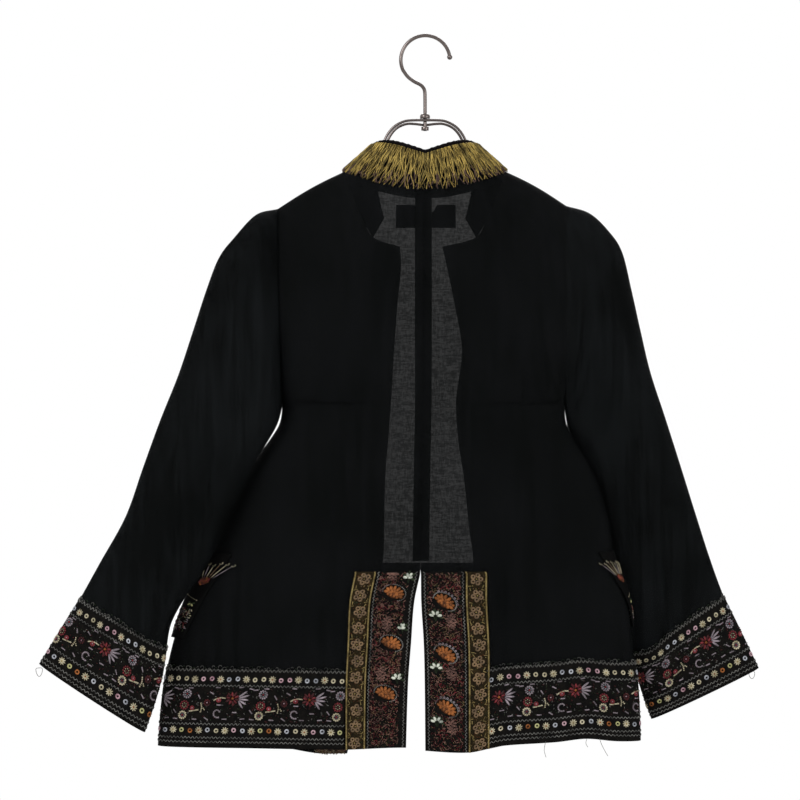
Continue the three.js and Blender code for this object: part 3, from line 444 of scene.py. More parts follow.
def panel(side, face, u, v):
    """A half back or front: v is 0 at the shoulder, 1 at the underarm and 2 at the hem."""
    share = np.clip(v - 1, 0, 1)
    rough = skirt(side, face, u, mix(UNDERARM_Z, HEM_Z, share))
    hem = column(HEM, "x", face, rough[..., 0])
    low = skirt(side, face, u, mix(UNDERARM_Z, hem, share))
    return creased(side, face, np.where((v > 1)[..., None], low, yoke(side, face, u, np.clip(v, 0, 1))))


# How far the bands beside the vent spread, at their top and at the hem.
SPREAD = {"left": (1.06, 0.98), "right": (1.075, 1.04)}


def beside_edge(side, face, top_z, length):
    """The cloth beside an open edge: s goes in from the edge, t goes down to the hem."""

    def at(s, t):
        share = t / length
        if face == "back":
            s = s * mix(*SPREAD[side], share)
        z = mix(top_z, HEM_Z, share)
        hem = column(HEM, "x", face, edge_x(side, face, z) + SIGN[side] * s)
        z = mix(top_z, hem, share)
        x = edge_x(side, face, z) + SIGN[side] * s
        _, y = section(side, face, z, angle_at(side, z, x))
        return creased(side, face, points(x, y, z))

    return at


def above_hem(side, face):
    """The cloth above the hem: s goes from the side fold to the centre, t down to the hem."""
    middle = HEM_Z + HEM_BAND / 2
    start = float(angle_at(side, middle, edge_x(side, face, np.float64(middle))))
    angles = np.linspace(np.pi / 2, start, 400)
    x, y = section(side, face, np.full(400, middle), angles)
    run = np.concatenate([[0], np.cumsum(np.hypot(np.diff(x), np.diff(y)))])

    def at(s, t):
        angle = np.interp(s, run, angles)
        hem = column(HEM, "x", face, section(side, face, np.full(np.shape(angle), middle), angle)[0])
        z = hem + HEM_BAND - t
        x, y = section(side, face, z, angle)
        return creased(side, face, points(x, y, z))

    return at, float(run[-1])


def round_cuff(side):
    """The cuff: s goes round from its outer edge over the back, t down to its end."""
    turns = np.linspace(0, 2 * np.pi, 721)
    p = sleeve_ring(side, np.full(721, 12.5), turns)
    run = np.concatenate([[0], np.cumsum(np.linalg.norm(np.diff(p, axis=0), axis=1))])

    def at(s, t):
        turn = np.interp(np.mod(s, run[-1]), run, turns)
        # The right cuff's top edge sags where the sleeve folds, towards the body.
        away = (np.degrees(turn) - 128) / 26
        sag = (7.0 if side == "right" else 1.5) * np.exp(-(away**2)) * (1 - t / CUFF_BAND)
        return sleeve_ring(side, CUFF_TOP + (SLEEVE_END - CUFF_TOP) * (t + sag) / CUFF_BAND, turn)

    return at, float(run[-1])


POCKET = {
    "left": {"round": (-3.1, -1.4), "z": (-567.0, -660.0), "width": 3.0},
    "right": {"round": (-2.5, 0.8), "z": (-565.0, -648.0), "width": 2.6},
}


def pocket_strip(side):
    """The slanted pocket at the side fold: s goes across it, t down it, both in millimetres."""
    spec = POCKET[side]
    length = math.hypot(spec["z"][1] - spec["z"][0], 30)
    wide = 26.0

    def at(s, t):
        q = mix(*spec["round"], t / length) + (s / wide - 0.5) * spec["width"]
        u = 1 - np.maximum(np.abs(q) - 0.25, 0) / HALF_STEPS
        z = mix(*spec["z"], t / length)
        back, front = (skirt(side, face, u, z) for face in ("back", "front"))
        return np.where((q < 0)[..., None], back, front)

    return at, wide, length


def collar_at(i, v):
    """The collar: i counts steps each way from the centre back, v is 0 at its seam, 1 at its top."""
    n = np.clip(np.abs(i), 0, NECK_END)
    low = [column(NECK, "i", name, n) for name in "xyz"]
    high = [column(COLLAR_TOP, "i", name, n) for name in "xyz"]
    low[0], high[0] = np.sign(i) * low[0], np.sign(i) * high[0]
    return mix(points(*low), points(*high), np.asarray(v, float)[..., None])


def body_outward(p):
    return p * np.array([0.02, 1.0, 0.0])


def back_outward(p):
    return np.broadcast_to(np.array([0.0, -1.0, 0.0]), p.shape)


def sleeve_outward(side):
    def out(p):
        ring = SLEEVE[side]
        mid = [(ring["ox"] + ring["ix"]) / 2, ring["y"], (ring["oz"] + ring["iz"]) / 2]
        line = np.stack(mid, -1)
        flat = p.reshape(-1, 3)
        nearest = np.concatenate(
            [np.argmin(((part[:, None] - line[None]) ** 2).sum(-1), 1) for part in np.array_split(flat, 40)]
        )
        return ((flat - line[nearest]) * np.array([1, 3, 1])).reshape(p.shape)

    return out


def collar_outward(p):
    return p * np.array([1, 1, 0]) + np.array([0, 0, 1.0]) * (0.4 * np.abs(p[..., :1]))


def surface_frame(at, a, b, outward, step=(0.4, 0.4)):
    """Points of a surface and its outward direction there."""
    p = at(a, b)
    da = at(a + step[0], b) - at(a - step[0], b)
    db = at(a, b + step[1]) - at(a, b - step[1])
    n = np.cross(da, db)
    n /= np.maximum(np.linalg.norm(n, axis=-1, keepdims=True), 1e-9)
    flip = np.sum(n * outward(p), -1, keepdims=True) < 0
    return p, np.where(flip, -n, n)


def grid_normals(p, outward, closed=False):
    """Outward directions at the points of a grid."""
    down = np.empty_like(p)
    down[1:-1], down[0], down[-1] = p[2:] - p[:-2], p[1] - p[0], p[-1] - p[-2]
    if closed:
        over = np.roll(p, -1, 1) - np.roll(p, 1, 1)
    else:
        over = np.empty_like(p)
        over[:, 1:-1] = p[:, 2:] - p[:, :-2]
        over[:, 0], over[:, -1] = p[:, 1] - p[:, 0], p[:, -1] - p[:, -2]
    n = np.cross(down, over)
    n /= np.maximum(np.linalg.norm(n, axis=-1, keepdims=True), 1e-9)
    return np.where(np.sum(n * outward, -1, keepdims=True) < 0, -n, n)


# ------------------------------------------------------------------ meshes
def build_mesh(name, verts, faces, materials, picks=None, smooth=True):
    """A mesh object from points in millimetres."""
    mesh = bpy.data.meshes.new(name)
    mesh.from_pydata([tuple(p) for p in np.asarray(verts) * MM], [], faces)
    for material in materials:
        mesh.materials.append(material)
    if picks is not None:
        mesh.polygons.foreach_set("material_index", np.asarray(picks, np.int32))
    mesh.polygons.foreach_set("use_smooth", np.full(len(mesh.polygons), smooth))
    mesh.validate()
    obj = bpy.data.objects.new(name, mesh)
    bpy.context.scene.collection.objects.link(obj)
    bpy.context.view_layer.update()
    return obj


def shell_faces(rows, columns, closed=False):
    """Faces of a wall of rows by columns points outside and as many inside."""
    base, faces = rows * columns, []
    spans = columns if closed else columns - 1

    def ident(r, c):
        return r * columns + c % columns

    for r in range(rows - 1):
        for c in range(spans):
            quad = [ident(r, c), ident(r, c + 1), ident(r + 1, c + 1), ident(r + 1, c)]
            faces.append(tuple(quad))
            faces.append(tuple(base + k for k in reversed(quad)))
    for c in range(spans):
        for r, turn in ((0, 1), (rows - 1, -1)):
            quad = [ident(r, c), base + ident(r, c), base + ident(r, c + 1), ident(r, c + 1)]
            faces.append(tuple(quad[::turn]))
    if not closed:
        for r in range(rows - 1):
            for c, turn in ((0, 1), (columns - 1, -1)):
                quad = [ident(r, c), ident(r + 1, c), base + ident(r + 1, c), base + ident(r, c)]
                faces.append(tuple(quad[::turn]))
    return faces


def facing_out(verts, faces):
    """The faces turned so that the closed mesh holds a positive volume."""
    verts = np.asarray(verts)
    total = 0.0
    for face in faces:
        for k in range(1, len(face) - 1):
            a, b, c = verts[face[0]], verts[face[k]], verts[face[k + 1]]
            total += a @ np.cross(b, c)
    return faces if total > 0 else [tuple(reversed(face)) for face in faces]


def shell(name, p, n, inner, outer, materials, closed=False):
    """A wall of cloth between two offsets of a grid of points."""
    rows, columns = p.shape[:2]
    verts = np.concatenate([(p + n * outer).reshape(-1, 3), (p + n * inner).reshape(-1, 3)])
    return build_mesh(name, verts, facing_out(verts, shell_faces(rows, columns, closed)), materials)


def strip_shell(name, at, s, t, outward, inner, outer, materials, closed=False):
    """A band of cloth laid on a surface over the given places."""
    tt, ss = np.meshgrid(t, s, indexing="ij")
    p, n = surface_frame(at, ss, tt, outward)
    return shell(name, p, n, inner, outer, materials, closed)


def tube(path, radius, sides=8, closed=False):
    """Points and faces of a round tube along a line. radius may differ at each point."""
    path = np.asarray(path, float)
    count = len(path)
    radius = np.broadcast_to(radius, (count,))
    tangent = np.gradient(path, axis=0)
    if closed:
        tangent = np.roll(path, -1, 0) - np.roll(path, 1, 0)
    tangent /= np.linalg.norm(tangent, axis=1, keepdims=True)
    up = np.array([0.0, 1.0, 0.0]) if abs(tangent[0][1]) < 0.9 else np.array([1.0, 0, 0])
    rings = []
    for p, d, r in zip(path, tangent, radius):
        u = up - d * (up @ d)
        u /= np.linalg.norm(u)
        w = np.cross(d, u)
        up = u
        angles = 2 * np.pi * np.arange(sides) / sides
        rings.append(p + r * (np.cos(angles)[:, None] * u + np.sin(angles)[:, None] * w))
    faces = []
    for k in range(count if closed else count - 1):
        for j in range(sides):
            a, b = k * sides + j, k * sides + (j + 1) % sides
            c, d = ((k + 1) % count) * sides + j, ((k + 1) % count) * sides + (j + 1) % sides
            faces.append((a, b, d, c))
    if not closed:
        faces.append(tuple(range(sides))[::-1])
        faces.append(tuple((count - 1) * sides + j for j in range(sides)))
    return np.concatenate(rings), faces


def joined(parts):
    """Several (points, faces) as one."""
    verts, faces, base = [], [], 0
    for v, f in parts:
        verts.append(v)
        faces += [tuple(base + k for k in face) for face in f]
        base += len(v)
    return np.concatenate(verts), faces


def place(obj, slot, *nodes):
    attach(obj, "root")
    if nodes:
        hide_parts(*nodes)
    return obj


# ------------------------------------------------------------------ materials
def linear(colour):
    """An sRGB hex colour, or a colour property, as linear RGBA."""
    if not isinstance(colour, str):
        return (*tuple(colour)[:3], 1.0)
    parts = [int(colour[k : k + 2], 16) / 255 for k in (1, 3, 5)]
    return (*(c / 12.92 if c <= 0.04045 else ((c + 0.055) / 1.055) ** 2.4 for c in parts), 1.0)


def add(tree, kind, links=(), **settings):
    """A node with its settings. links are (input, value or another node's output)."""
    node = tree.nodes.new(kind)
    for name, value in settings.items():
        setattr(node, name, value)
    for socket, value in links:
        if isinstance(value, bpy.types.NodeSocket):
            tree.links.new(value, node.inputs[socket])
        else:
            node.inputs[socket].default_value = value
    return node


def new_material(name, **constants):
    """A material and its tree, shader and place coordinates. Constants go on the shader's sockets."""
    material = bpy.data.materials.new(name)
    material.use_nodes = True
    tree = material.node_tree
    shader = next(n for n in tree.nodes if n.type == "BSDF_PRINCIPLED")
    for socket, value in constants.items():
        shader.inputs[socket.replace("_", " ")].default_value = value
    place_node = add(tree, "ShaderNodeTexCoord")
    return material, tree, shader, place_node.outputs["Object"]


def stretched(tree, coords, x, y, z):
    return add(tree, "ShaderNodeMapping", [("Vector", coords), ("Scale", (x, y, z))]).outputs["Vector"]


def noise(tree, coords, scale, detail=3.0, rough=0.5):
    links = [("Vector", coords), ("Scale", scale), ("Detail", detail), ("Roughness", rough)]
    return add(tree, "ShaderNodeTexNoise", links).outputs["Fac"]


def ramp(tree, value, low, high, to_low=0.0, to_high=1.0):
    links = [("Value", value), ("From Min", low), ("From Max", high), ("To Min", to_low), ("To Max", to_high)]
    return add(tree, "ShaderNodeMapRange", links).outputs["Result"]


def total(tree, a, b):
    return add(tree, "ShaderNodeMath", [(0, a), (1, b)], operation="ADD").outputs[0]


def tint(tree, value, dark, light):
    node = add(tree, "ShaderNodeMix", data_type="RGBA")
    tree.links.new(value, node.inputs["Factor"])
    for socket, colour in (("A", dark), ("B", light)):
        found = next(s for s in node.inputs if s.name == socket and s.type == "RGBA")
        found.default_value = linear(colour)
    return next(s for s in node.outputs if s.type == "RGBA")


def bump(tree, shader, height, distance_mm, strength=0.6):
    links = [("Height", height), ("Distance", distance_mm * MM), ("Strength", strength)]
    tree.links.new(add(tree, "ShaderNodeBump", links).outputs["Normal"], shader.inputs["Normal"])


def voile_material(name="black silk voile", cover=0.87, dark="#030404", light="#08090a", lean=0.0):
    # Plain-woven sheer voile: single threads let light through. Its colour carries painted fold shade,
    # lighter and darker streaks that stand for the shading of its crushed creases.
    # Real threads are 0.15 mm apart. They are drawn 1.5 mm apart, as coarse as they need to show.
    material, tree, shader, coords = new_material(name, Roughness=0.72, Specular_IOR_Level=0.03)
    across = noise(tree, stretched(tree, coords, 190, 190, 700), 1.0, 2.0)
    down = noise(tree, stretched(tree, coords, 700, 190, 150), 1.0, 2.0)
    slub = noise(tree, stretched(tree, coords, 60, 60, 330), 1.0, 3.0, 0.7)
    weave = total(tree, total(tree, across, down), slub)
    # The cloth is stretched more open towards the neck.
    height = add(tree, "ShaderNodeSeparateXYZ", [("Vector", coords)]).outputs["Z"]
    threads = ramp(tree, weave, 1.3, 1.7, -0.035, 0.035)
    cloth = total(tree, threads, ramp(tree, height, -0.34, -0.17, 0.0, -0.022))
    tree.links.new(total(tree, cloth, cover), shader.inputs["Alpha"])
    # Painted fold shade: long lighter and darker streaks run down the cloth, along a sleeve's own slope, as
    # the shade and sheen of crushed creases. A broad random mottle is added to them.
    links = [("Vector", coords), ("Rotation", (0, lean, 0)), ("Scale", (130, 130, 9))]
    turned = add(tree, "ShaderNodeMapping", links).outputs["Vector"]
    painted_crease_shade = noise(tree, turned, 1.0, 4.0, 0.6)
    crease_shade_and_mottle = total(tree, painted_crease_shade, noise(tree, coords, 9.0, 3.0))
    # The base colour is this painted fold shade and random mottle, between the dark and light colours.
    tree.links.new(tint(tree, ramp(tree, crease_shade_and_mottle, 0.8, 1.2), dark, light), shader.inputs["Base Color"])
    bump(tree, shader, weave, 0.25, 0.35)
    return material


def ground_material(name="black net ground", dark="#050505", light="#12100e"):
    # Cotton ground closely covered with dark thread: matt, mottled brown and black.
    material, tree, shader, coords = new_material(name, Roughness=0.8, Specular_IOR_Level=0.03)
    specks = noise(tree, coords, 900.0, 2.0, 0.7)
    patches = noise(tree, coords, 160.0, 3.0)
    blend = add(tree, "ShaderNodeMath", [(0, specks), (1, patches)], operation="MULTIPLY").outputs[0]
    tree.links.new(tint(tree, ramp(tree, blend, 0.16, 0.4), dark, light), shader.inputs["Base Color"])
    tree.links.new(ramp(tree, patches, 0.3, 0.7, 0.7, 0.9), shader.inputs["Roughness"])
    bump(tree, shader, specks, 0.5)
    return material


# Beadwork and thread: darker and lighter colour, roughness, metallic, gloss, grain per metre.
FINISHES = {
    "silver thread": ("#343433", "#74736f", 0.5, 0.2, 0.08, 1400.0),  # twisted metal thread, dull glints
    "cream glass": ("#6f6852", "#a39b84", 0.3, 0.0, 0.2, 700.0),  # opaque cream beads and sequins
    "lilac grey cord": ("#4a4448", "#82787e", 0.55, 0.0, 0.08, 1100.0),  # couched silk cord
    "maroon beads": ("#1c0a0b", "#431719", 0.35, 0.0, 0.12, 800.0),  # translucent dark red glass
    "red beads": ("#3a1014", "#6b2529", 0.35, 0.0, 0.12, 800.0),  # brighter red glass
    "mauve beads": ("#3b2a27", "#75564c", 0.35, 0.0, 0.12, 800.0),  # dusty pink glass
    "orange silk": ("#3e220d", "#875027", 0.45, 0.0, 0.1, 900.0),  # padded satin stitch with a soft shine
    "rust silk": ("#2c170b", "#4d2b15", 0.5, 0.0, 0.08, 900.0),  # darker rust thread, also laid under a fan's lobes as painted shade in the dips between them
    "blue sequin": ("#3d4263", "#747b9f", 0.28, 0.1, 0.3, 500.0),  # pearly plastic sequin
    "pink sequin": ("#6a4a53", "#a0838a", 0.28, 0.1, 0.3, 500.0),
    "pearl sequin": ("#5c5e64", "#96989e", 0.28, 0.1, 0.3, 500.0),
    "lime sequin": ("#6b6a42", "#9c9a6c", 0.28, 0.1, 0.3, 500.0),
    "green silk": ("#10160e", "#262f1f", 0.5, 0.0, 0.06, 900.0),  # satin-stitched leaves
    "clear stone": ("#676c62", "#aeb2a4", 0.12, 0.0, 0.5, 300.0),  # polished drop stones, bright glints
    "gold cord": ("#453a20", "#85754a", 0.42, 0.2, 0.12, 1500.0),  # twisted gilt cord
    "rose sequin": ("#3b2e20", "#69543b", 0.35, 0.15, 0.2, 600.0),  # faded golden-brown cups
    "dark hole": ("#050406", "#0b090a", 0.9, 0.0, 0.0, 900.0),  # the shadow inside a sequin's hole
}


def beadwork_material(name):
    dark, light, rough, metallic, gloss, grain = FINISHES[name]
    material, tree, shader, coords = new_material(name, Metallic=metallic, Specular_IOR_Level=gloss)
    fine = noise(tree, coords, grain, 2.0)
    broad = noise(tree, coords, 130.0, 1.0)
    both = total(tree, fine, broad)
    tree.links.new(tint(tree, ramp(tree, both, 0.75, 1.25), dark, light), shader.inputs["Base Color"])
    tree.links.new(ramp(tree, fine, 0.3, 0.7, rough - 0.08, rough + 0.1), shader.inputs["Roughness"])
    bump(tree, shader, fine, 0.25, 0.4)
    return material


def fringe_material(name, dark, light):
    # Fine gilt thread strung with tiny beads: it glints where a strand turns.
    material, tree, shader, coords = new_material(name, Specular_IOR_Level=0.12, Metallic=0.1)
    beads = noise(tree, coords, 1100.0, 2.0)
    zones = noise(tree, coords, 90.0, 2.0)
    both = total(tree, beads, zones)
    tree.links.new(tint(tree, ramp(tree, both, 0.75, 1.25), dark, light), shader.inputs["Base Color"])
    tree.links.new(ramp(tree, beads, 0.3, 0.7, 0.4, 0.65), shader.inputs["Roughness"])
    bump(tree, shader, beads, 0.4, 0.6)
    return material


def cotton_material(name, dark, light, rough, thread_mm):
    # Woven cotton or satin tape: threads across and along, too fine to see singly.
    material, tree, shader, coords = new_material(name, Specular_IOR_Level=0.03)
    threads = noise(tree, stretched(tree, coords, 1, 1, 4), 1 / (thread_mm * MM), 2.0)
    tree.links.new(tint(tree, ramp(tree, threads, 0.35, 0.65), dark, light), shader.inputs["Base Color"])
    tree.links.new(ramp(tree, threads, 0.3, 0.7, rough - 0.07, rough + 0.07), shader.inputs["Roughness"])
    bump(tree, shader, threads, 0.2, 0.4)
    return material


def plated_material(colour):
    # Black-nickel plated steel wire, drawn and polished: dark mirror with soft lengthwise marks.
    material, tree, shader, coords = new_material("black nickel plated wire", Metallic=1.0)
    marks = noise(tree, coords, 45.0, 2.0)
    dark = tuple(c * 0.7 for c in linear(colour)[:3])
    tree.links.new(tint(tree, ramp(tree, marks, 0.3, 0.7), dark, colour), shader.inputs["Base Color"])
    tree.links.new(ramp(tree, marks, 0.3, 0.7, 0.12, 0.24), shader.inputs["Roughness"])
    return material


MADE = {}


def material(name, make=None, *args):
    if name not in MADE:
        MADE[name] = make(*args) if make else beadwork_material(name)
    return MADE[name]


def voile():
    cloth = bpy.context.scene.jacket_cloth
    return material("voile", voile_material, "black silk voile", cloth.cover)


def sleeve_voile(side):
    cloth = bpy.context.scene.jacket_cloth
    name = f"black silk voile, {side} sleeve"
    # The sleeves get a lighter light colour, so their painted fold shade streaks carry more painted
    # highlight, leaning with the sleeve.
    return material(name, voile_material, name, cloth.cover, "#030404", "#0c0e0f", SIGN[side] * -0.31)


def ground():
    return material("ground", ground_material)


# ------------------------------------------------------------------ needlework
def dome(sides, mid=0.72):
    """A low cushion of radius and height 1, with its points, faces and a flat underside."""
    angle = 2 * np.pi * np.arange(sides) / sides
    base = np.stack([np.cos(angle), np.sin(angle), np.zeros(sides)], -1)
    shoulder = np.stack([mid * np.cos(angle), mid * np.sin(angle), np.full(sides, 0.72)], -1)
    verts = np.concatenate([base, shoulder, [[0, 0, 1]]])
    faces = [tuple(range(sides))[::-1]]
    for k in range(sides):
        j = (k + 1) % sides
        faces += [(k, j, sides + j, sides + k), (sides + k, sides + j, 2 * sides)]
    return verts, faces


def cone(sides):
    angle = 2 * np.pi * np.arange(sides) / sides
    base = np.stack([np.cos(angle), np.sin(angle), np.zeros(sides)], -1)
    faces = [tuple(range(sides))[::-1]] + [(k, (k + 1) % sides, sides) for k in range(sides)]
    return np.concatenate([base, [[0, 0, 1]]]), faces


def cup(sides, hole):
    """A sequin: a ring of outer radius 1 and height 1."""
    angle = 2 * np.pi * np.arange(sides) / sides
    ring = np.stack([np.cos(angle), np.sin(angle)], -1)
    levels = [(1.0, 0.0), (0.9, 1.0), (hole * 1.35, 0.62), (hole, 0.0)]
    verts = np.concatenate([np.column_stack([ring * r, np.full(sides, h)]) for r, h in levels])
    faces = []
    for level in range(4):
        for k in range(sides):
            j = (k + 1) % sides
            a, b = level * sides, ((level + 1) % 4) * sides
            faces.append((a + k, a + j, b + j, b + k))
    return verts, faces


DOME6, DOME8, BEAD, CUP, WIDE_CUP = dome(6), dome(8), cone(5), cup(10, 0.36), cup(9, 0.3)
STITCH = (
    np.array([(-1, -1, 0), (1, -1, 0), (1, 1, 0), (-1, 1, 0), (-0.8, 0, 1), (0.8, 0, 1)], float),
    [(3, 2, 1, 0), (0, 1, 5, 4), (2, 3, 4, 5), (1, 2, 5), (3, 0, 4)],
)


class Needlework:
    """Beads, sequins and stitches gathered on one surface and made into one mesh."""

    def __init__(self, at, outward, lift):
        self.at, self.outward, self.lift = at, outward, lift
        self.verts, self.faces, self.picks, self.colours, self.count = [], [], [], [], 0

    def put(self, shape, s, t, size, colour, angle=0.0):
        verts, faces = shape
        rx, ry, h = size
        c, k = math.cos(angle), math.sin(angle)
        x, y = verts[:, 0] * rx, verts[:, 1] * ry
        self.verts.append(np.column_stack([s + x * c - y * k, t + x * k + y * c, verts[:, 2] * h]))
        if colour not in self.colours:
            self.colours.append(colour)
        pick = self.colours.index(colour)
        base = self.count
        self.faces += [tuple(base + n for n in face) for face in faces]
        self.picks += [pick] * len(faces)
        self.count += len(verts)

    def stitch(self, s0, t0, s1, t1, width, colour, height=0.7):
        length = math.hypot(s1 - s0, t1 - t0)
        turn = math.atan2(t1 - t0, s1 - s0)
        self.put(STITCH, (s0 + s1) / 2, (t0 + t1) / 2, (length / 2, width / 2, height), colour, turn)

    def petal(self, s, t, angle, length, width, colour, height=0.9):
        out = length / 2
        s, t = s + out * math.cos(angle), t + out * math.sin(angle)
        self.put(DOME8, s, t, (out, width / 2, height), colour, angle)

    def sequin(self, s, t, radius, colour, height=0.7):
        self.put(CUP, s, t, (radius, radius, height), colour)
        self.put(BEAD, s, t, (radius * 0.34, radius * 0.34, 0.12), "dark hole")

    def bead(self, s, t, radius, colour, height=None):
        self.put(BEAD, s, t, (radius, radius, height or radius), colour)

    def chain(self, line, pitch, radius, colour):
        line = np.asarray(line, float)
        run = np.concatenate([[0], np.cumsum(np.hypot(*np.diff(line, axis=0).T))])
        for d in np.arange(0, run[-1] + 0.01, pitch):
            self.bead(np.interp(d, run, line[:, 0]), np.interp(d, run, line[:, 1]), radius, colour)

    def daisy(self, s, t, radius, colour, heart, petals=9):
        for k in range(petals):
            self.petal(s, t, 2 * math.pi * k / petals, radius, radius * 0.36, colour, 0.8)
        self.put(DOME6, s, t, (radius * 0.28, radius * 0.28, 1.2), heart)

    def rosette(self, s, t, radius, ring, dots, heart):
        for k in range(11):
            a = 2 * math.pi * k / 11
            x, y = s + radius * 0.78 * math.cos(a), t + radius * 0.78 * math.sin(a)
            self.put(DOME6, x, y, (1.35, 1.2, 1.0), ring, a)
        for k in range(6):
            a = 2 * math.pi * (k + 0.5) / 6
            self.bead(s + radius * 0.42 * math.cos(a), t + radius * 0.42 * math.sin(a), 0.85, dots)
        self.put(DOME6, s, t, (radius * 0.24, radius * 0.24, 1.3), heart)

    def curl(self, s, t, radius, thick, colour, start, end):
        angles = np.radians(np.linspace(start, end, 12))
        radii = radius * np.linspace(0.6, 1.0, 12)
        xs, ys = s + radii * np.cos(angles), t + radii * np.sin(angles)
        for k in range(11):
            self.stitch(xs[k], ys[k], xs[k + 1], ys[k + 1], thick, colour, 1.0)

    def zigzag(self, length, t, pitch, swing, colour, width=0.8, across=False):
        count = max(int(length / pitch), 1)
        step = length / count
        for k in range(count):
            a, b = k * step, (k + 0.5) * step
            ends = [(a, t - swing, b, t + swing), (b, t + swing, a + step, t - swing)]
            for s0, t0, s1, t1 in ends:
                if across:
                    s0, t0, s1, t1 = t0, s0, t1, s1
                self.stitch(s0, t0, s1, t1, width, colour)

    def make(self, name, slot):
        verts = np.concatenate(self.verts)
        p, n = surface_frame(self.at, verts[:, 0], verts[:, 1], self.outward)
        placed = p + n * (self.lift + verts[:, 2:3])
        mats = [material(colour) for colour in self.colours]
        obj = build_mesh(name, placed, self.faces, mats, self.picks)
        flip_inward(obj)
        return place(obj, slot)


def flip_inward(obj):
    """Turns the faces of each loose part out, since left and right surfaces run opposite ways."""
    mesh = bmesh.new()
    mesh.from_mesh(obj.data)
    bmesh.ops.recalc_face_normals(mesh, faces=mesh.faces)
    mesh.to_mesh(obj.data)
    mesh.free()


# One repeat of the hem and cuff embroidery, 84.5 mm long: places along it and down the band.
REPEAT = 84.5
ROSETTES = (
    (0.6, 27.4, 5.2, "lilac grey cord", "pearl sequin", "red beads"),
    (-1.6, 39.8, 5.4, "red beads", "cream glass", "maroon beads"),
    (-2.9, 50.6, 4.8, "cream glass", "lilac grey cord", "red beads"),
)
DASHES = (
    (-8, 22.5, -0.1),
    (4.1, 21, 0.0),
    (34.6, 20.2, 0.05),
    (60.4, 19.8, -0.1),
    (72, 21.5, 0.2),
    (37, 39.2, 0.0),
    (54.6, 47.2, 0.0),
    (28.2, 26.2, 0.5),
    (10.6, 55, 0.05),
    (23.5, 54.2, 0.6),
    (43.8, 54.6, 0.0),
    (63.4, 54.2, -0.1),
    (73.6, 54.6, 0.1),
    (72.5, 46.5, 0.9),
    (14.5, 30.5, 1.0),
)
FAN_TIPS = ((67.5, 23.5), (70.5, 28), (69.5, 33.5), (67.2, 38.6), (63.5, 43))
CLUSTERS = ((23.8, 36.8, 4.6, "maroon beads"), (36.4, 33.8, 3.0, "red beads"), (7.6, 42.8, 2.6, "red beads"))
STEMS = (((4, 46.4), (9, 45.6), (15, 44.6)), ((30.5, 34.4), (34, 32.4), (39, 31.2), (44, 31.8)))
STAR = (51.6, 32)
# Zigzag rows: how far down the band, swing and pitch.
ZIGZAGS = ((1.4, 1.5, 4.4), (18.2, 1.2, 4.2), (60.2, 1.2, 4.2), (75.0, 1.2, 4.2), (79.6, 1.1, 4.4))
CURL_PITCH = 4.2
SEQUIN_COLOURS = ("pearl sequin", "blue sequin", "pink sequin", "pearl sequin", "cream glass", "lime sequin")
LOWER_COLOURS = ("pink sequin", "cream glass", "pearl sequin", "orange silk", "lime sequin", "pearl sequin")
SEQUIN_PITCH = 9.4
ROW_TOP, ROW_LOW = 11.0, 67.0


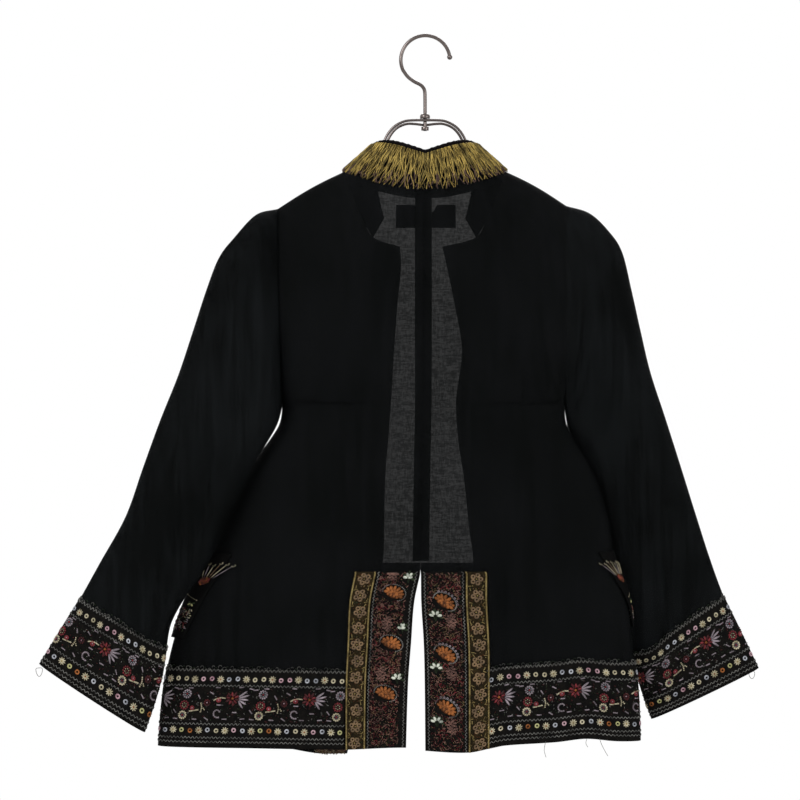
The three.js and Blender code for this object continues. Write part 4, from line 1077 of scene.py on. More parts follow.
def wide_band(work, length, seed, phase=0.0, mirror=False):
    """The sequin rows, zigzags, rosettes, stars and curls of the hem and cuffs."""
    rng = np.random.default_rng(seed)

    def inside(s, margin=1.0):
        return margin < s < length - margin

    for t, swing, pitch in ZIGZAGS:
        work.zigzag(length, t, pitch, swing, "silver thread", 0.8)
    for k in range(int(length / CURL_PITCH)):
        s, r, a = (k + 0.5) * CURL_PITCH + rng.uniform(-1, 1), rng.uniform(1.2, 2.6), rng.uniform(-40, 40)
        thread = "silver thread" if k % 3 else "green silk"
        if inside(s, 4):
            work.curl(s, rng.uniform(-2.4, 0.6), r, 0.45, thread, a + 170, a + 370)
    for row, colours, start in ((ROW_TOP, SEQUIN_COLOURS, 1), (ROW_LOW, LOWER_COLOURS, 2)):
        count = int((length - 8) / SEQUIN_PITCH)
        for k in range(count + 1):
            s = 4.5 + k * (length - 9) / max(count, 1)
            t = row + 0.5 * math.sin(k * 1.9)
            if k % 3 == start:
                heart = "orange silk" if k % 2 else "gold cord"
                work.daisy(s, t, 4.4, "cream glass", heart)
            else:
                work.sequin(s, t, 2.75, colours[(k * 5 + k // 3) % 6])
    for base in np.arange(phase - REPEAT, length + REPEAT, REPEAT):

        def at(s):
            return base + (REPEAT - s if mirror else s)

        def way(angle):
            return math.pi - angle if mirror else angle

        for s, t, r, ring, dots, heart in ROSETTES:
            if inside(at(s), r):
                work.rosette(at(s), t, r, ring, dots, heart)
        for s, t, lean in DASHES:
            if inside(at(s), 3.2):
                a = way(lean)
                c, k = 2.7 * math.cos(a), 2.7 * math.sin(a)
                work.stitch(at(s) - c, t - k, at(s) + c, t + k, 1.5, "lilac grey cord", 1.0)
        star_s, star_t = at(STAR[0]), STAR[1]
        if inside(star_s, 8):
            for k in range(10):
                a = 2 * math.pi * k / 10 + 0.2
                colour = "red beads" if k % 2 else "maroon beads"
                x, y = star_s + 2 * math.cos(a), star_t + 2 * math.sin(a)
                work.petal(x, y, a, 7.0 - 1.5 * (k % 2), 2.6, colour)
            for k in range(14):
                a = 2.4 * k
                d = 1.6 + 0.42 * k
                work.bead(star_s + d * math.cos(a), star_t + d * math.sin(a), 0.9, "red beads", 1.5)
            work.put(DOME6, star_s, star_t, (1.7, 1.7, 1.9), "orange silk")
        for k, (s, t) in enumerate(FAN_TIPS):
            if inside(at(s), 1) and inside(at(56.5), 1):
                s0, s1, t0 = at(57.5), at(s), 31 + 0.7 * k
                length_k = math.hypot(s1 - s0, t - t0)
                work.petal(s0, t0, math.atan2(t - t0, s1 - s0), length_k, 2.4, "lilac grey cord", 1.1)
        if inside(at(35.8), 6):
            spans = (-20, -300) if not mirror else (200, 480)
            work.curl(at(35.8), 48.2, 5.0, 1.9, "lilac grey cord", *spans)
        for stem in STEMS:
            if all(inside(at(s)) for s, _ in stem):
                for (s0, t0), (s1, t1) in zip(stem, stem[1:]):
                    work.stitch(at(s0), t0, at(s1), t1, 1.7, "cream glass", 1.2)
        if inside(at(17.5), 3):
            work.chain([(at(17), 37.6), (at(18.2), 42), (at(17.2), 47)], 1.9, 1.05, "cream glass")
            work.chain([(at(20), 43), (at(22), 45.6)], 1.9, 1.0, "cream glass")
        for s, t, r, colour in CLUSTERS:
            if inside(at(s), r):
                for k in range(9):
                    a = 2 * math.pi * k / 9
                    x, y = at(s) + r * 0.62 * math.cos(a), t + r * 0.62 * math.sin(a)
                    work.put(DOME6, x, y, (1.35, 1.1, 1.1), colour, a)
                work.bead(at(s), t, 1.2, "pink sequin", 1.4)
    # A scatter of small dark stitches fills the ground between the motifs.
    for _ in range(int(length * 2.2)):
        s, t, a = rng.uniform(2, length - 2), rng.uniform(20.5, 57.5), rng.uniform(0, math.pi)
        colour = ("silver thread", "green silk", "green silk", "maroon beads")[rng.integers(4)]
        c, k = 0.9 * math.cos(a), 0.9 * math.sin(a)
        work.stitch(s - c, t - k, s + c, t + k, 0.6, colour, 0.4)


# Centres of the orange fans: how far in from the vent's edge and how far down the band.
FANS = {
    "left": ((22.3, 22.6), (20.8, 78.1), (23.9, 133.2)),
    "right": ((24.2, 31.8), (22.5, 88.0), (22.8, 145.7)),
}
FAN_HALF = (11.4, 7.2)
FAN_TILT = {"left": 22.0, "right": 34.0}  # degrees that its long axis falls to the right
FAN_RIM = {"left": 26, "right": 32}  # silver beads in the chain round it
# Beside each fan, to the right and down in the view: drop stones, a berry cluster, a scroll.
BESIDE_FAN = {
    "left": {"drops": (12.0, -15.5), "berries": (-5.5, -21.0), "scroll": (-8.0, 16.5)},
    "right": {"drops": (-10.5, 16.0), "berries": (5.5, 21.0), "scroll": (1.0, -15.0)},
}


def scallop_fan(work, spot, way, tilt, rim):
    """A padded fan: lobes round its upper edge, a cushion below, and a chain of silver loops."""
    half_wide, half_high = FAN_HALF
    c, k = math.cos(math.radians(tilt)), math.sin(math.radians(tilt))

    def local(x, y):
        return spot(x * c - y * k, x * k + y * c)

    def put(x, y, size, colour, angle=0.0):
        work.put(DOME8, *local(x, y), size, colour, way(math.radians(tilt) + angle))

    # The darker cushion shows between the lobes as painted shade in their dips.
    put(0, 1.4, (half_wide * 0.86, half_high * 0.74, 1.1), "rust silk")
    for row, lobes, share, height in ((1.0, 8, 0.74, 1.9), (0.45, 5, 0.34, 1.7)):
        for n in range(lobes):
            a = math.radians(-188 + 196 * n / (lobes - 1))
            x, y = half_wide * share * math.cos(a), 1.2 + half_high * share * math.sin(a)
            put(x, y, (3.3 if row > 0.5 else 2.7, 1.9, height), "orange silk", a)
    for n in range(4):
        put(-5.4 + 3.6 * n, 3.4, (2.2, 1.7, 1.6), "orange silk", 1.2)
    for n in range(rim):
        a = math.radians(-200 + 250 * n / (rim - 1))
        x, y = half_wide * 1.12 * math.cos(a), 0.4 + half_high * 1.18 * math.sin(a)
        s, t = local(x, y)
        work.put(BEAD, s, t, (0.95, 0.95, 0.9), "silver thread")
        if rim > 30 and 5 < n < 22 and n % 2:
            s, t = local(1.1 * x, 1.16 * y)
            work.put(CUP, s, t, (1.2, 1.2, 0.8), "lilac grey cord")


def drop_spray(work, spot, way):
    """Four pale drop stones in a spray among dark leaves."""
    for n, degrees in enumerate((-165, -118, -62, -12)):
        a = math.radians(degrees)
        x, y = 4.3 * math.cos(a), 4.0 * math.sin(a)
        leaf = a + 0.42
        work.petal(*spot(2.4 * math.cos(leaf), 2.4 * math.sin(leaf)), way(leaf), 6.4, 3.0, "green silk", 0.7)
        work.put(DOME8, *spot(x, y), (2.9, 1.8, 1.8), "clear stone", way(a))
        work.stitch(*spot(0.6 * x, 0.6 * y), *spot(0, 5.5), 0.6, "green silk", 0.5)


def fan_band(work, side, width, length, fans, towards, margins, seed):
    """Orange fans among dark red beads, with leaves and pale drops, between zigzag edges."""
    rng = np.random.default_rng(seed)
    low, high = margins
    for s in (3.8, width - 2.4):
        work.zigzag(length, s, 3.8, 1.0, "silver thread", 0.75, across=True)

    def way(angle):
        return math.atan2(math.sin(angle), -towards * math.cos(angle))

    taken = []
    for s, t in fans:

        def centred(x, y, s=s, t=t):
            return s - towards * x, t + y

        def around(right, down, s=s, t=t):
            def at(x, y):
                across, along = s - towards * (right + x), t + down + y
                return min(max(across, low), high), min(max(along, 2), length - 2)

            return at

        scallop_fan(work, centred, way, FAN_TILT[side], FAN_RIM[side])
        taken.append((s, t, 13.0, 9.5))
        beside = BESIDE_FAN[side]
        for name in ("drops", "berries"):
            right, down = beside[name]
            taken.append((s - towards * right, t + down, 6.5, 7.0))
        drop_spray(work, around(*beside["drops"]), way)
        spot = around(*beside["berries"])
        for n in range(26):
            a, d = 2.4 * n, 1.28 * math.sqrt(n)
            place_on = spot(0.85 * d * math.cos(a), 1.25 * d * math.sin(a))
            work.put(WIDE_CUP, *place_on, (1.15, 1.15, 1.0), "mauve beads")
        spot = around(*beside["scroll"])
        for n in range(9):
            x0, x1 = -8 + 1.9 * n, -8 + 1.9 * (n + 1)
            ends = (*spot(x0, 1.8 * math.sin(n * 1.3)), *spot(x1, 1.8 * math.sin((n + 1) * 1.3)))
            work.stitch(*ends, 1.1, "mauve beads" if n % 3 == 0 else "red beads", 0.9)
    for _ in range(int(width * length / 3.4)):
        s, t = rng.uniform(low, high), rng.uniform(1.5, length - 2)
        if any(((s - fs) / rs) ** 2 + ((t - ft) / rt) ** 2 < 1 for fs, ft, rs, rt in taken):
            continue
        pick, a = rng.random(), rng.uniform(0, math.pi)
        if pick > 0.86:
            c, k = 1.5 * math.cos(a), 1.5 * math.sin(a)
            work.stitch(s - c, t - k, s + c, t + k, 0.8, "mauve beads", 0.8)
        else:
            colour = "maroon beads" if pick < 0.55 else "green silk" if pick < 0.7 else "rose sequin"
            work.bead(s, t, 0.8, colour, 0.7)
    # Small scrolls of bead thread wander between the fans.
    for _ in range(int(width * length / 120)):
        s, t, a = rng.uniform(low + 2, high - 2), rng.uniform(4, length - 4), rng.uniform(0, 360)
        if all(((s - fs) / rs) ** 2 + ((t - ft) / rt) ** 2 > 1.3 for fs, ft, rs, rt in taken):
            colour = ("red beads", "mauve beads", "rose sequin")[rng.integers(3)]
            work.curl(s, t, rng.uniform(1.6, 3.4), 0.9, colour, a, a + rng.uniform(160, 300))


def gold_band(work, start, width, length, seed):
    """Rose-brown sequin flowers and gilt bugle beads between two gilt cords."""
    rng = np.random.default_rng(seed)
    middle = start + width / 2
    for edge in (start + 1.1, start + width - 1.1):
        count = int(length / 1.7)
        for k in range(count):
            t = (k + 0.5) * length / count
            work.put(DOME6, edge, t, (1.5, 0.85, 1.3), "gold cord", 0.9)
    flowers = int(length / 19.3)
    for k in range(flowers + 1):
        t = 8 + k * (length - 15) / max(flowers, 1)
        s = middle + 1.1 * math.sin(k * 2.1)
        turn = 0.5 * math.sin(k * 1.3)
        for j in range(5):
            a = turn + 2 * math.pi * j / 5
            work.put(WIDE_CUP, s + 4.3 * math.cos(a), t + 4.3 * math.sin(a), (2.8, 2.8, 0.8), "rose sequin")
        work.bead(s, t, 1.2, "gold cord", 1.4)
        for ds, dt, a in ((-7, 7.4, 0.2), (6.5, 8.4, 1.9), (-6.4, 10.8, 1.4), (6.8, 11.6, 0.4)):
            a += rng.uniform(-0.4, 0.4)
            c, n = 1.9 * math.cos(a), 1.9 * math.sin(a)
            if t + dt < length - 2:
                work.stitch(s + ds - c, t + dt - n, s + ds + c, t + dt + n, 1.0, "gold cord", 1.0)
    for _ in range(int(length * 1.8)):
        s, t = rng.uniform(start + 3, start + width - 3), rng.uniform(2, length - 2)
        work.bead(s, t, 0.7, ("green silk", "gold cord", "rose sequin", "rust silk")[rng.integers(4)], 0.5)


# ------------------------------------------------------------------ pieces
def make_panel(side, face):
    u = np.linspace(0, 1, 57)
    v = np.concatenate([np.linspace(0, 1, 45), np.linspace(1, 2, 70)[1:]])
    vv, uu = np.meshgrid(v, u, indexing="ij")
    p = panel(side, face, uu, vv)
    aside = SIGN[side] * 0.8 * uu
    up = np.where(vv < 0.02, 3.0, 0.2)
    n = grid_normals(p, points(aside, np.full_like(uu, DEPTH[face]), up))
    half = bpy.context.scene.jacket_cloth.thickness / MM / 2
    obj = shell(f"{face}_{side}_voile", p, n, -half, half, [voile()])
    return place(obj, "black_voile", f"{face}_{side}")


def make_sleeve(side):
    r = np.linspace(0, SLEEVE_END, 141)
    turn = np.linspace(0, 2 * np.pi, 97)[:-1]
    rr, tt = np.meshgrid(r, turn, indexing="ij")
    p = sleeve_ring(side, rr, tt)
    ring = {name: column(SLEEVE[side], "r", name, rr) for name in ("ox", "ix", "y", "oz", "iz")}
    middle = points((ring["ox"] + ring["ix"]) / 2, ring["y"], (ring["oz"] + ring["iz"]) / 2)
    n = grid_normals(p, (p - middle) * np.array([1, 3, 1]), closed=True)
    half = bpy.context.scene.jacket_cloth.thickness / MM / 2
    obj = shell(f"sleeve_{side}_voile", p, n, -half, half, [sleeve_voile(side)], closed=True)
    return place(obj, "black_voile", f"sleeve_{side}")


def back_row(side, x, z):
    """The place (u, w) of the back's upper part that lies at x and z, by a few steps of search."""

    def at(u, fall):
        return yoke(side, "back", u, np.arccos(np.clip(1 - 2 * fall, -1, 1)) / np.pi)

    u = np.clip(np.abs(x) / 250, 0.005, 0.9)
    w = np.clip((z + 165) / (UNDERARM_Z + 165), 0.01, 0.97)
    for _ in range(16):
        p, pu, pw = at(u, w), at(u + 1e-3, w), at(u, w + 1e-3)
        a, b = (pu - p)[..., 0] / 1e-3, (pw - p)[..., 0] / 1e-3
        c, d = (pu - p)[..., 2] / 1e-3, (pw - p)[..., 2] / 1e-3
        ex, ez = x - p[..., 0], z - p[..., 2]
        det = a * d - b * c
        det = np.where(np.abs(det) < 1e-6, 1e-6, det)
        u = np.clip(u + 0.8 * (d * ex - b * ez) / det, 0, 1)
        w = np.clip(w + 0.8 * (a * ez - c * ex) / det, 0, 1)
    return u, np.arccos(1 - 2 * w) / np.pi


def on_back(x, z):
    """Points of the whole back at x and z, above or below the underarm."""
    seam = column(SECTION, "z", "seam", z)
    result = np.zeros((*np.shape(x), 3))
    for side in SIDES:
        away = np.where(SIGN[side] * (x - seam) > 0, x, seam + SIGN[side] * 0.5)
        u, w = back_row(side, away, np.maximum(z, UNDERARM_Z))
        high = yoke(side, "back", u, w)
        _, y = section(side, "back", z, angle_at(side, z, away))
        low = points(x, y, z)
        p = creased(side, "back", np.where((z < UNDERARM_Z)[..., None], low, high))
        p[..., 0], p[..., 2] = x, z
        mine = (SIGN[side] * (x - seam) > 0)[..., None]
        result = np.where(mine, p, result)
    return result


SEAM_ENDS = (-170.5, -574.0)
FACING_TOP_Z = -576.0
# The label's sides, its top and lower edge, and the dip in the middle of its top.
LABEL = {"left": -32.0, "right": 33.0, "top": -187.5, "low": -212.5, "notch": 8.0, "notch_half": 10.0}


def make_inside():
    """Seam allowances, neck tape, facings and the bare label, all inside the back."""
    black = voile()
    for side, under in (("left", 0.0), ("right", 0.6)):
        z = np.linspace(*SEAM_ENDS, 62)
        across = np.linspace(-0.5, 9.0, 5) * SIGN[side]
        zz, aa = np.meshgrid(z, across, indexing="ij")
        p = on_back(column(SECTION, "z", "seam", zz) + aa, zz)
        n = grid_normals(p, back_outward(p))
        obj = shell(f"seam_allowance_{side}_strip", p, n, -1.3 - under, -0.8 - under, [black])
        place(obj, "black_voile", f"seam_allowance_{side}")
        length = FACING_TOP_Z - HEM_Z
        at = beside_edge(side, "back", FACING_TOP_Z, length)
        s, t = np.linspace(0.4, GOLD_END, 12), np.linspace(0, length - 1, 50)
        obj = strip_shell(f"vent_facing_{side}_cloth", at, s, t, back_outward, -1.4, -0.8, [black])
        place(obj, "black_voile", f"vent_facing_{side}")
    i = np.linspace(-3.9, 3.9, 61)
    seam = np.array([neck_line("left" if k < 0 else "right", abs(k)) for k in i])
    drop = np.linspace(1.0, 12.5, 6)
    zz = seam[None, :, 2] - drop[:, None]
    xx = np.broadcast_to(seam[None, :, 0], zz.shape).copy()
    p = on_back(xx, zz)
    obj = shell("neck_tape_strip", p, grid_normals(p, back_outward(p)), -2.2, -2.0, [black])
    place(obj, "black_voile", "neck_tape")
    x = np.linspace(LABEL["left"], LABEL["right"], 40)
    top = LABEL["top"] - LABEL["notch"] / (1 + np.exp(-(LABEL["notch_half"] - np.abs(x - 0.5)) / 0.8))
    zz = mix(top[None, :], LABEL["low"], np.linspace(0, 1, 9)[:, None])
    p = on_back(np.broadcast_to(x[None, :], zz.shape).copy(), zz)
    satin = material("label", cotton_material, "black satin", "#070808", "#101213", 0.4, 0.8)
    obj = shell("neck_label_satin", p, grid_normals(p, back_outward(p)), -3.0, -2.4, [satin])
    place(obj, "label_satin", "neck_label")


def make_collar():
    i = np.linspace(-NECK_END, NECK_END, 133)
    v = np.linspace(-0.03, 1, 13)
    vv, ii = np.meshgrid(v, i, indexing="ij")
    p = collar_at(ii, vv)
    n = grid_normals(p, collar_outward(p))
    cloth = material("collar", cotton_material, "black cotton collar", "#040404", "#0a0a0b", 0.8, 1.0)
    place(shell("collar_stand", p, n, -0.9, 0.9, [cloth]), "black_voile", "collar")
    top, edge = p[-1], n[-1]
    rise = top - p[-2]
    rise /= np.linalg.norm(rise, axis=1, keepdims=True)
    angle = np.linspace(0, 2 * np.pi, 11)[:-1]
    ripple = 0.18 * np.sin(np.arange(len(top)) * 2.3)[:, None, None]
    turn = angle[None, :, None]
    ring = np.cos(turn) * edge[:, None] * 1.9 + np.sin(turn) * rise[:, None] * 2.0
    verts = (top[:, None] + rise[:, None] * 1.5 + ring * (1 + ripple)).reshape(-1, 3)
    faces = []
    for k in range(len(top) - 1):
        for j in range(10):
            a, b = k * 10 + j, k * 10 + (j + 1) % 10
            faces.append((a, b, b + 10, a + 10))
    faces += [tuple(range(10))[::-1], tuple((len(top) - 1) * 10 + j for j in range(10))]
    binding = material("binding", cotton_material, "black bias binding", "#050405", "#0f0d0e", 0.7, 0.9)
    obj = build_mesh("collar_binding_roll", verts, facing_out(verts, faces), [binding])
    place(obj, "black_binding", "collar_binding")


def make_fringe():
    look = bpy.context.scene.jacket_fringe
    rng = np.random.default_rng(7)
    gilt = material("gilt", fringe_material, "gilt bead thread", look.dark, look.light)
    straw = material("straw", fringe_material, "straw gold thread", "#2f2710", "#776838")
    tip = material("tips", fringe_material, "rose brown thread ends", "#2c201c", "#5c4840")
    verts, faces, picks, base = [], [], [], 0
    sides, steps = 5, 13
    middle_height = np.linalg.norm(collar_at(np.float64(0), 1.0) - collar_at(np.float64(0), 0.0))
    angle = 2 * np.pi * np.arange(sides) / sides
    for k in range(look.strands):
        i = mix(-NECK_END + 0.06, NECK_END - 0.06, (k + 0.5) / look.strands) + rng.normal(0, 0.03)
        layer = k % 3
        drift = rng.normal(0, 0.11)
        # Strands are cut to the collar's height, so they stay in proportion round it.
        reach = look.length / MM / middle_height * rng.uniform(0.86, 1.07)
        v = np.linspace(0.965, max(0.965 - reach, -0.1), steps)
        wave = rng.uniform(0.03, 0.1) * np.sin(np.linspace(0, rng.uniform(5, 13), steps) + rng.uniform(0, 6))
        hook = rng.choice([-1, 1]) * rng.uniform(0.02, 0.24) * np.linspace(0, 1, steps) ** 5
        ii = np.clip(i + drift * np.linspace(0, 1, steps) ** 1.4 + wave + hook, -NECK_END, NECK_END)
        p, n = surface_frame(collar_at, ii, v, collar_outward, (0.05, 0.02))
        lift = 1.4 + 0.9 * layer + 0.9 * np.sin(np.linspace(0, 2.6, steps)) + rng.uniform(0, 0.5)
        line = p + n * lift[:, None]
        radius = (0.6 + 0.13 * np.sin(np.arange(steps) * 2.1 + k)) * np.linspace(1, 0.7, steps)
        along = np.gradient(line, axis=0)
        along /= np.linalg.norm(along, axis=1, keepdims=True)
        over = np.cross(along, n)
        over /= np.linalg.norm(over, axis=1, keepdims=True)
        ring = np.cos(angle)[None, :, None] * over[:, None] + np.sin(angle)[None, :, None] * n[:, None]
        verts.append((line[:, None] + ring * radius[:, None, None]).reshape(-1, 3))
        colour = 0 if rng.random() < 0.62 else 1
        tail = rng.integers(8, 17)
        for a in range(steps - 1):
            start = base + a * sides
            for j in range(sides):
                q = (j + 1) % sides
                faces.append((start + j, start + q, start + sides + q, start + sides + j))
                picks.append(2 if a >= tail else colour)
        faces.append(tuple(base + j for j in range(sides))[::-1])
        faces.append(tuple(base + (steps - 1) * sides + j for j in range(sides)))
        picks += [colour, 2]
        base += steps * sides
    obj = build_mesh("collar_fringe_strands", np.concatenate(verts), faces, [gilt, straw, tip], picks)
    flip_inward(obj)
    return place(obj, "gold_fringe", "collar_fringe")


CLOTH_TOP = 0.45  # where a band's underside lies over the cloth's middle
BAND_TOP = 1.05
GOLD_TOP = BAND_TOP + 0.3
# How far along a hem band its first repeat starts.
PHASES = {
    ("left", "back"): 36.0,
    ("right", "back"): 47.0,
    ("left", "front"): 20.0,
    ("right", "front"): 30.0,
}


def make_hem(side, face):
    at, total = above_hem(side, face)
    start = GOLD_END + 0.6 if face == "back" else FRONT_BAND + 0.6
    length = total - start
    name = f"hem_{face}_{side}"
    s, t = np.linspace(0.2, length, 70), np.linspace(0, HEM_BAND, 24)
    base = strip_shell(f"{name}_ground", at, s, t, body_outward, CLOTH_TOP, BAND_TOP, [ground()])
    place(base, "embroidered_band", name)
    work = Needlework(at, body_outward, BAND_TOP)
    seed = 11 + 2 * SIDES.index(side) + (face == "front")
    # On the right the surface runs from the side towards the centre, so its repeat is turned round.
    turned = (side == "right") == (face == "back")
    wide_band(work, length, seed, PHASES[side, face], mirror=turned)
    work.make(f"{name}_stitching", "embroidered_band")


def make_vent(side):
    length = BAND_TOP_Z - HEM_Z
    at = beside_edge(side, "back", BAND_TOP_Z, length)
    t = np.linspace(0, length, 60)
    towards = 1.0 if side == "left" else -1.0
    s = np.linspace(0.3, VENT_BAND, 14)
    base = strip_shell(f"vent_band_{side}_ground", at, s, t, back_outward, CLOTH_TOP, BAND_TOP, [ground()])
    place(base, "embroidered_band", f"vent_band_{side}")
    work = Needlework(at, back_outward, BAND_TOP)
    margins = (9.5, VENT_BAND - 3.5) if side == "left" else (6.0, VENT_BAND - 4.5)
    fan_band(work, side, VENT_BAND, length, FANS[side], towards, margins, 21 + SIDES.index(side))
    work.make(f"vent_band_{side}_stitching", "embroidered_band")
    olive = material("olive", ground_material, "olive silk ground", "#100d07", "#282012")
    s = np.linspace(GOLD_START, GOLD_END, 8)
    base = strip_shell(f"vent_gold_{side}_ground", at, s, t, back_outward, CLOTH_TOP, GOLD_TOP, [olive])
    place(base, "gold_corded_band", f"vent_gold_{side}")
    work = Needlework(at, back_outward, GOLD_TOP)
    gold_band(work, GOLD_START, GOLD_END - GOLD_START, length, 31 + SIDES.index(side))
    work.make(f"vent_gold_{side}_beads", "gold_corded_band")


def make_front_band(side):
    length = BAND_TOP_Z - HEM_Z
    at = beside_edge(side, "front", BAND_TOP_Z, length)

    def out(p):
        return np.broadcast_to(np.array([0.0, 1.0, 0.0]), p.shape)

    s, t = np.linspace(0.3, FRONT_BAND, 14), np.linspace(0, length, 60)
    base = strip_shell(f"front_band_{side}_ground", at, s, t, out, CLOTH_TOP, BAND_TOP, [ground()])
    place(base, "embroidered_band", f"front_band_{side}")
    work = Needlework(at, out, BAND_TOP)
    fans = [(s - 2.5, t) for s, t in FANS[side]]
    towards = -1.0 if side == "left" else 1.0
    fan_band(work, side, FRONT_BAND, length, fans, towards, (6.0, FRONT_BAND - 4.0), 41 + SIDES.index(side))
    work.make(f"front_band_{side}_stitching", "embroidered_band")


def make_cuff(side):
    at, around = round_cuff(side)
    out = sleeve_outward(side)
    s, t = np.linspace(0, around, 121)[:-1], np.linspace(0, CUFF_BAND, 22)
    net = [ground()]
    base = strip_shell(f"cuff_band_{side}_ground", at, s, t, out, CLOTH_TOP, BAND_TOP, net, closed=True)
    place(base, "embroidered_band", f"cuff_band_{side}")
    work = Needlework(at, out, BAND_TOP)
    wide_band(work, around, 51 + SIDES.index(side), 8.0 if side == "left" else 14.0, mirror=side == "right")
    work.make(f"cuff_band_{side}_stitching", "embroidered_band")


def make_welt(side):
    at, wide, length = pocket_strip(side)
    s, t = np.linspace(0, wide, 15), np.linspace(0, length, 40)
    tt, ss = np.meshgrid(t, s, indexing="ij")
    p, n = surface_frame(at, ss, tt, body_outward)
    crown = 1.1 * np.sqrt(np.maximum(np.sin(np.pi * ss / wide), 0))[..., None]
    rows, columns = p.shape[:2]
    verts = np.concatenate([(p + n * (3.2 + crown)).reshape(-1, 3), (p + n * 2.1).reshape(-1, 3)])
    black = material("welt", ground_material, "black welt cloth", "#030303", "#080808")
    faces = facing_out(verts, shell_faces(rows, columns))
    obj = build_mesh(f"pocket_welt_{side}_cloth", verts, faces, [black])
    place(obj, "embroidered_band", f"pocket_welt_{side}")
    work = Needlework(at, body_outward, 3.9)
    rng = np.random.default_rng(61 + SIDES.index(side))
    middle = wide / 2
    # A fan of pale cords over an orange cushion, then a leaf, then loose pink and white stitches.
    for k in range(8):
        s0, a, tall = middle + 3 - 1.9 * k, math.radians(-52 - 68 * k / 7), rng.uniform(13, 18)
        tone = ("cream glass", "rose sequin", "cream glass", "lilac grey cord")[k % 4]
        work.petal(s0, 29, a, tall, 0.8, tone, 1.0)
        work.curl(s0 + tall * math.cos(a), 29 + tall * math.sin(a), 1.4, 0.5, "cream glass", 0, 250)
    for k in range(34):
        a, d = 2.4 * k, 0.72 * math.sqrt(k)
        colour = ("orange silk", "red beads", "rust silk", "maroon beads")[k % 4]
        work.put(DOME6, middle - 4 + 1.1 * d * math.cos(a), 32 + d * math.sin(a), (1.2, 1.0, 1.3), colour, a)
    for k in range(8):
        work.bead(5 + 2.1 * k, 54 - 0.8 * k, 0.75, "cream glass", 0.9)
    for k in range(5):
        work.petal(9, 58, math.radians(-30 + 55 * k), 4.4, 1.9, ("green silk", "lime sequin")[k % 2], 1.0)
    for k in range(110):
        s0, t0, a = rng.uniform(4, wide - 4), rng.uniform(63, length - 10), rng.uniform(0, math.pi)
        colours = ("lilac grey cord", "cream glass", "red beads", "silver thread", "green silk")
        thread = colours[rng.integers(5)]
        work.stitch(s0, t0, s0 + 2.6 * math.cos(a), t0 + 2.6 * math.sin(a), 0.9, thread, 0.8)
    work.make(f"pocket_welt_{side}_stitching", "embroidered_band")


HOOK = {"radius": 27.0, "wire": 2.0, "ball": 3.0, "x": 0.4, "z": -25.0, "start": 7.0, "end": 205.0}
HOOK_FOOT = table("x z", (-19, -43.2), (-12, -48.6), (-4.5, -52.6), (-0.8, -57.5), (0, -66), (0, -103))
WIRE = table(
    "x z spread",
    (0, -91.6, 3.8),
    (12, -91.6, 3.8),
    (22, -92.6, 3.8),
    (33, -98.0, 3.8),
    (41, -107.0, 3.8),
    (46.5, -119.0, 3.8),
    (50.4, -129.0, 4.0),
    (56, -138.0, 4.2),
    (67, -146.0, 4.8),
    (83, -153.6, 5.0),
    (104, -163.2, 5.0),
    (128, -175.6, 4.6),
    (147, -186.6, 2.6),
)


def smooth_line(line, count):
    """A smooth line through the given points, evenly stepped."""
    line = np.asarray(line, float)
    rows = {"d": np.concatenate([[0], np.cumsum(np.linalg.norm(np.diff(line, axis=0), axis=1))])}
    rows.update({name: line[:, k] for k, name in enumerate("xyz")})
    d = np.linspace(0, rows["d"][-1], count)
    return np.stack([column(rows, "d", name, d) for name in "xyz"], -1)


def lathe(profile, sides):
    """A closed outline of radii and heights turned round the stem."""
    angle = 2 * np.pi * np.arange(sides) / sides
    verts = np.concatenate([points(r * np.cos(angle), r * np.sin(angle), z) for r, z in profile])
    faces, count = [], len(profile)
    for k in range(count):
        for j in range(sides):
            a, b, q = k * sides, ((k + 1) % count) * sides, (j + 1) % sides
            faces.append((a + j, a + q, b + q, b + j))
    return verts, faces


DOME_NUT = [(2.3, -89.6), (5.2, -89.6), (5.6, -89.2), (5.6, -86.6), (5.0, -85.2), (3.6, -84.2), (2.3, -84.0)]
LOCK_NUT = [(2.3, -102.6), (4.0, -102.6), (4.2, -102.2), (4.2, -99.0), (4.0, -98.6), (2.3, -98.6)]


def ball_at(centre, radius):
    """Points and faces of a round ball."""
    turn, rise = np.meshgrid(np.linspace(0, 2 * np.pi, 17)[:-1], np.linspace(0.06, np.pi - 0.06, 11))
    round_it = np.stack([np.sin(rise) * np.cos(turn), np.sin(rise) * np.sin(turn), np.cos(rise)], -1)
    faces = []
    for row in range(0, 160, 16):
        for c in range(16):
            q = (c + 1) % 16
            faces.append((row + c, row + q, row + 16 + q, row + 16 + c))
    faces += [tuple(range(16)), tuple(160 + k for k in range(16))[::-1]]
    return (centre + radius * round_it).reshape(-1, 3), faces


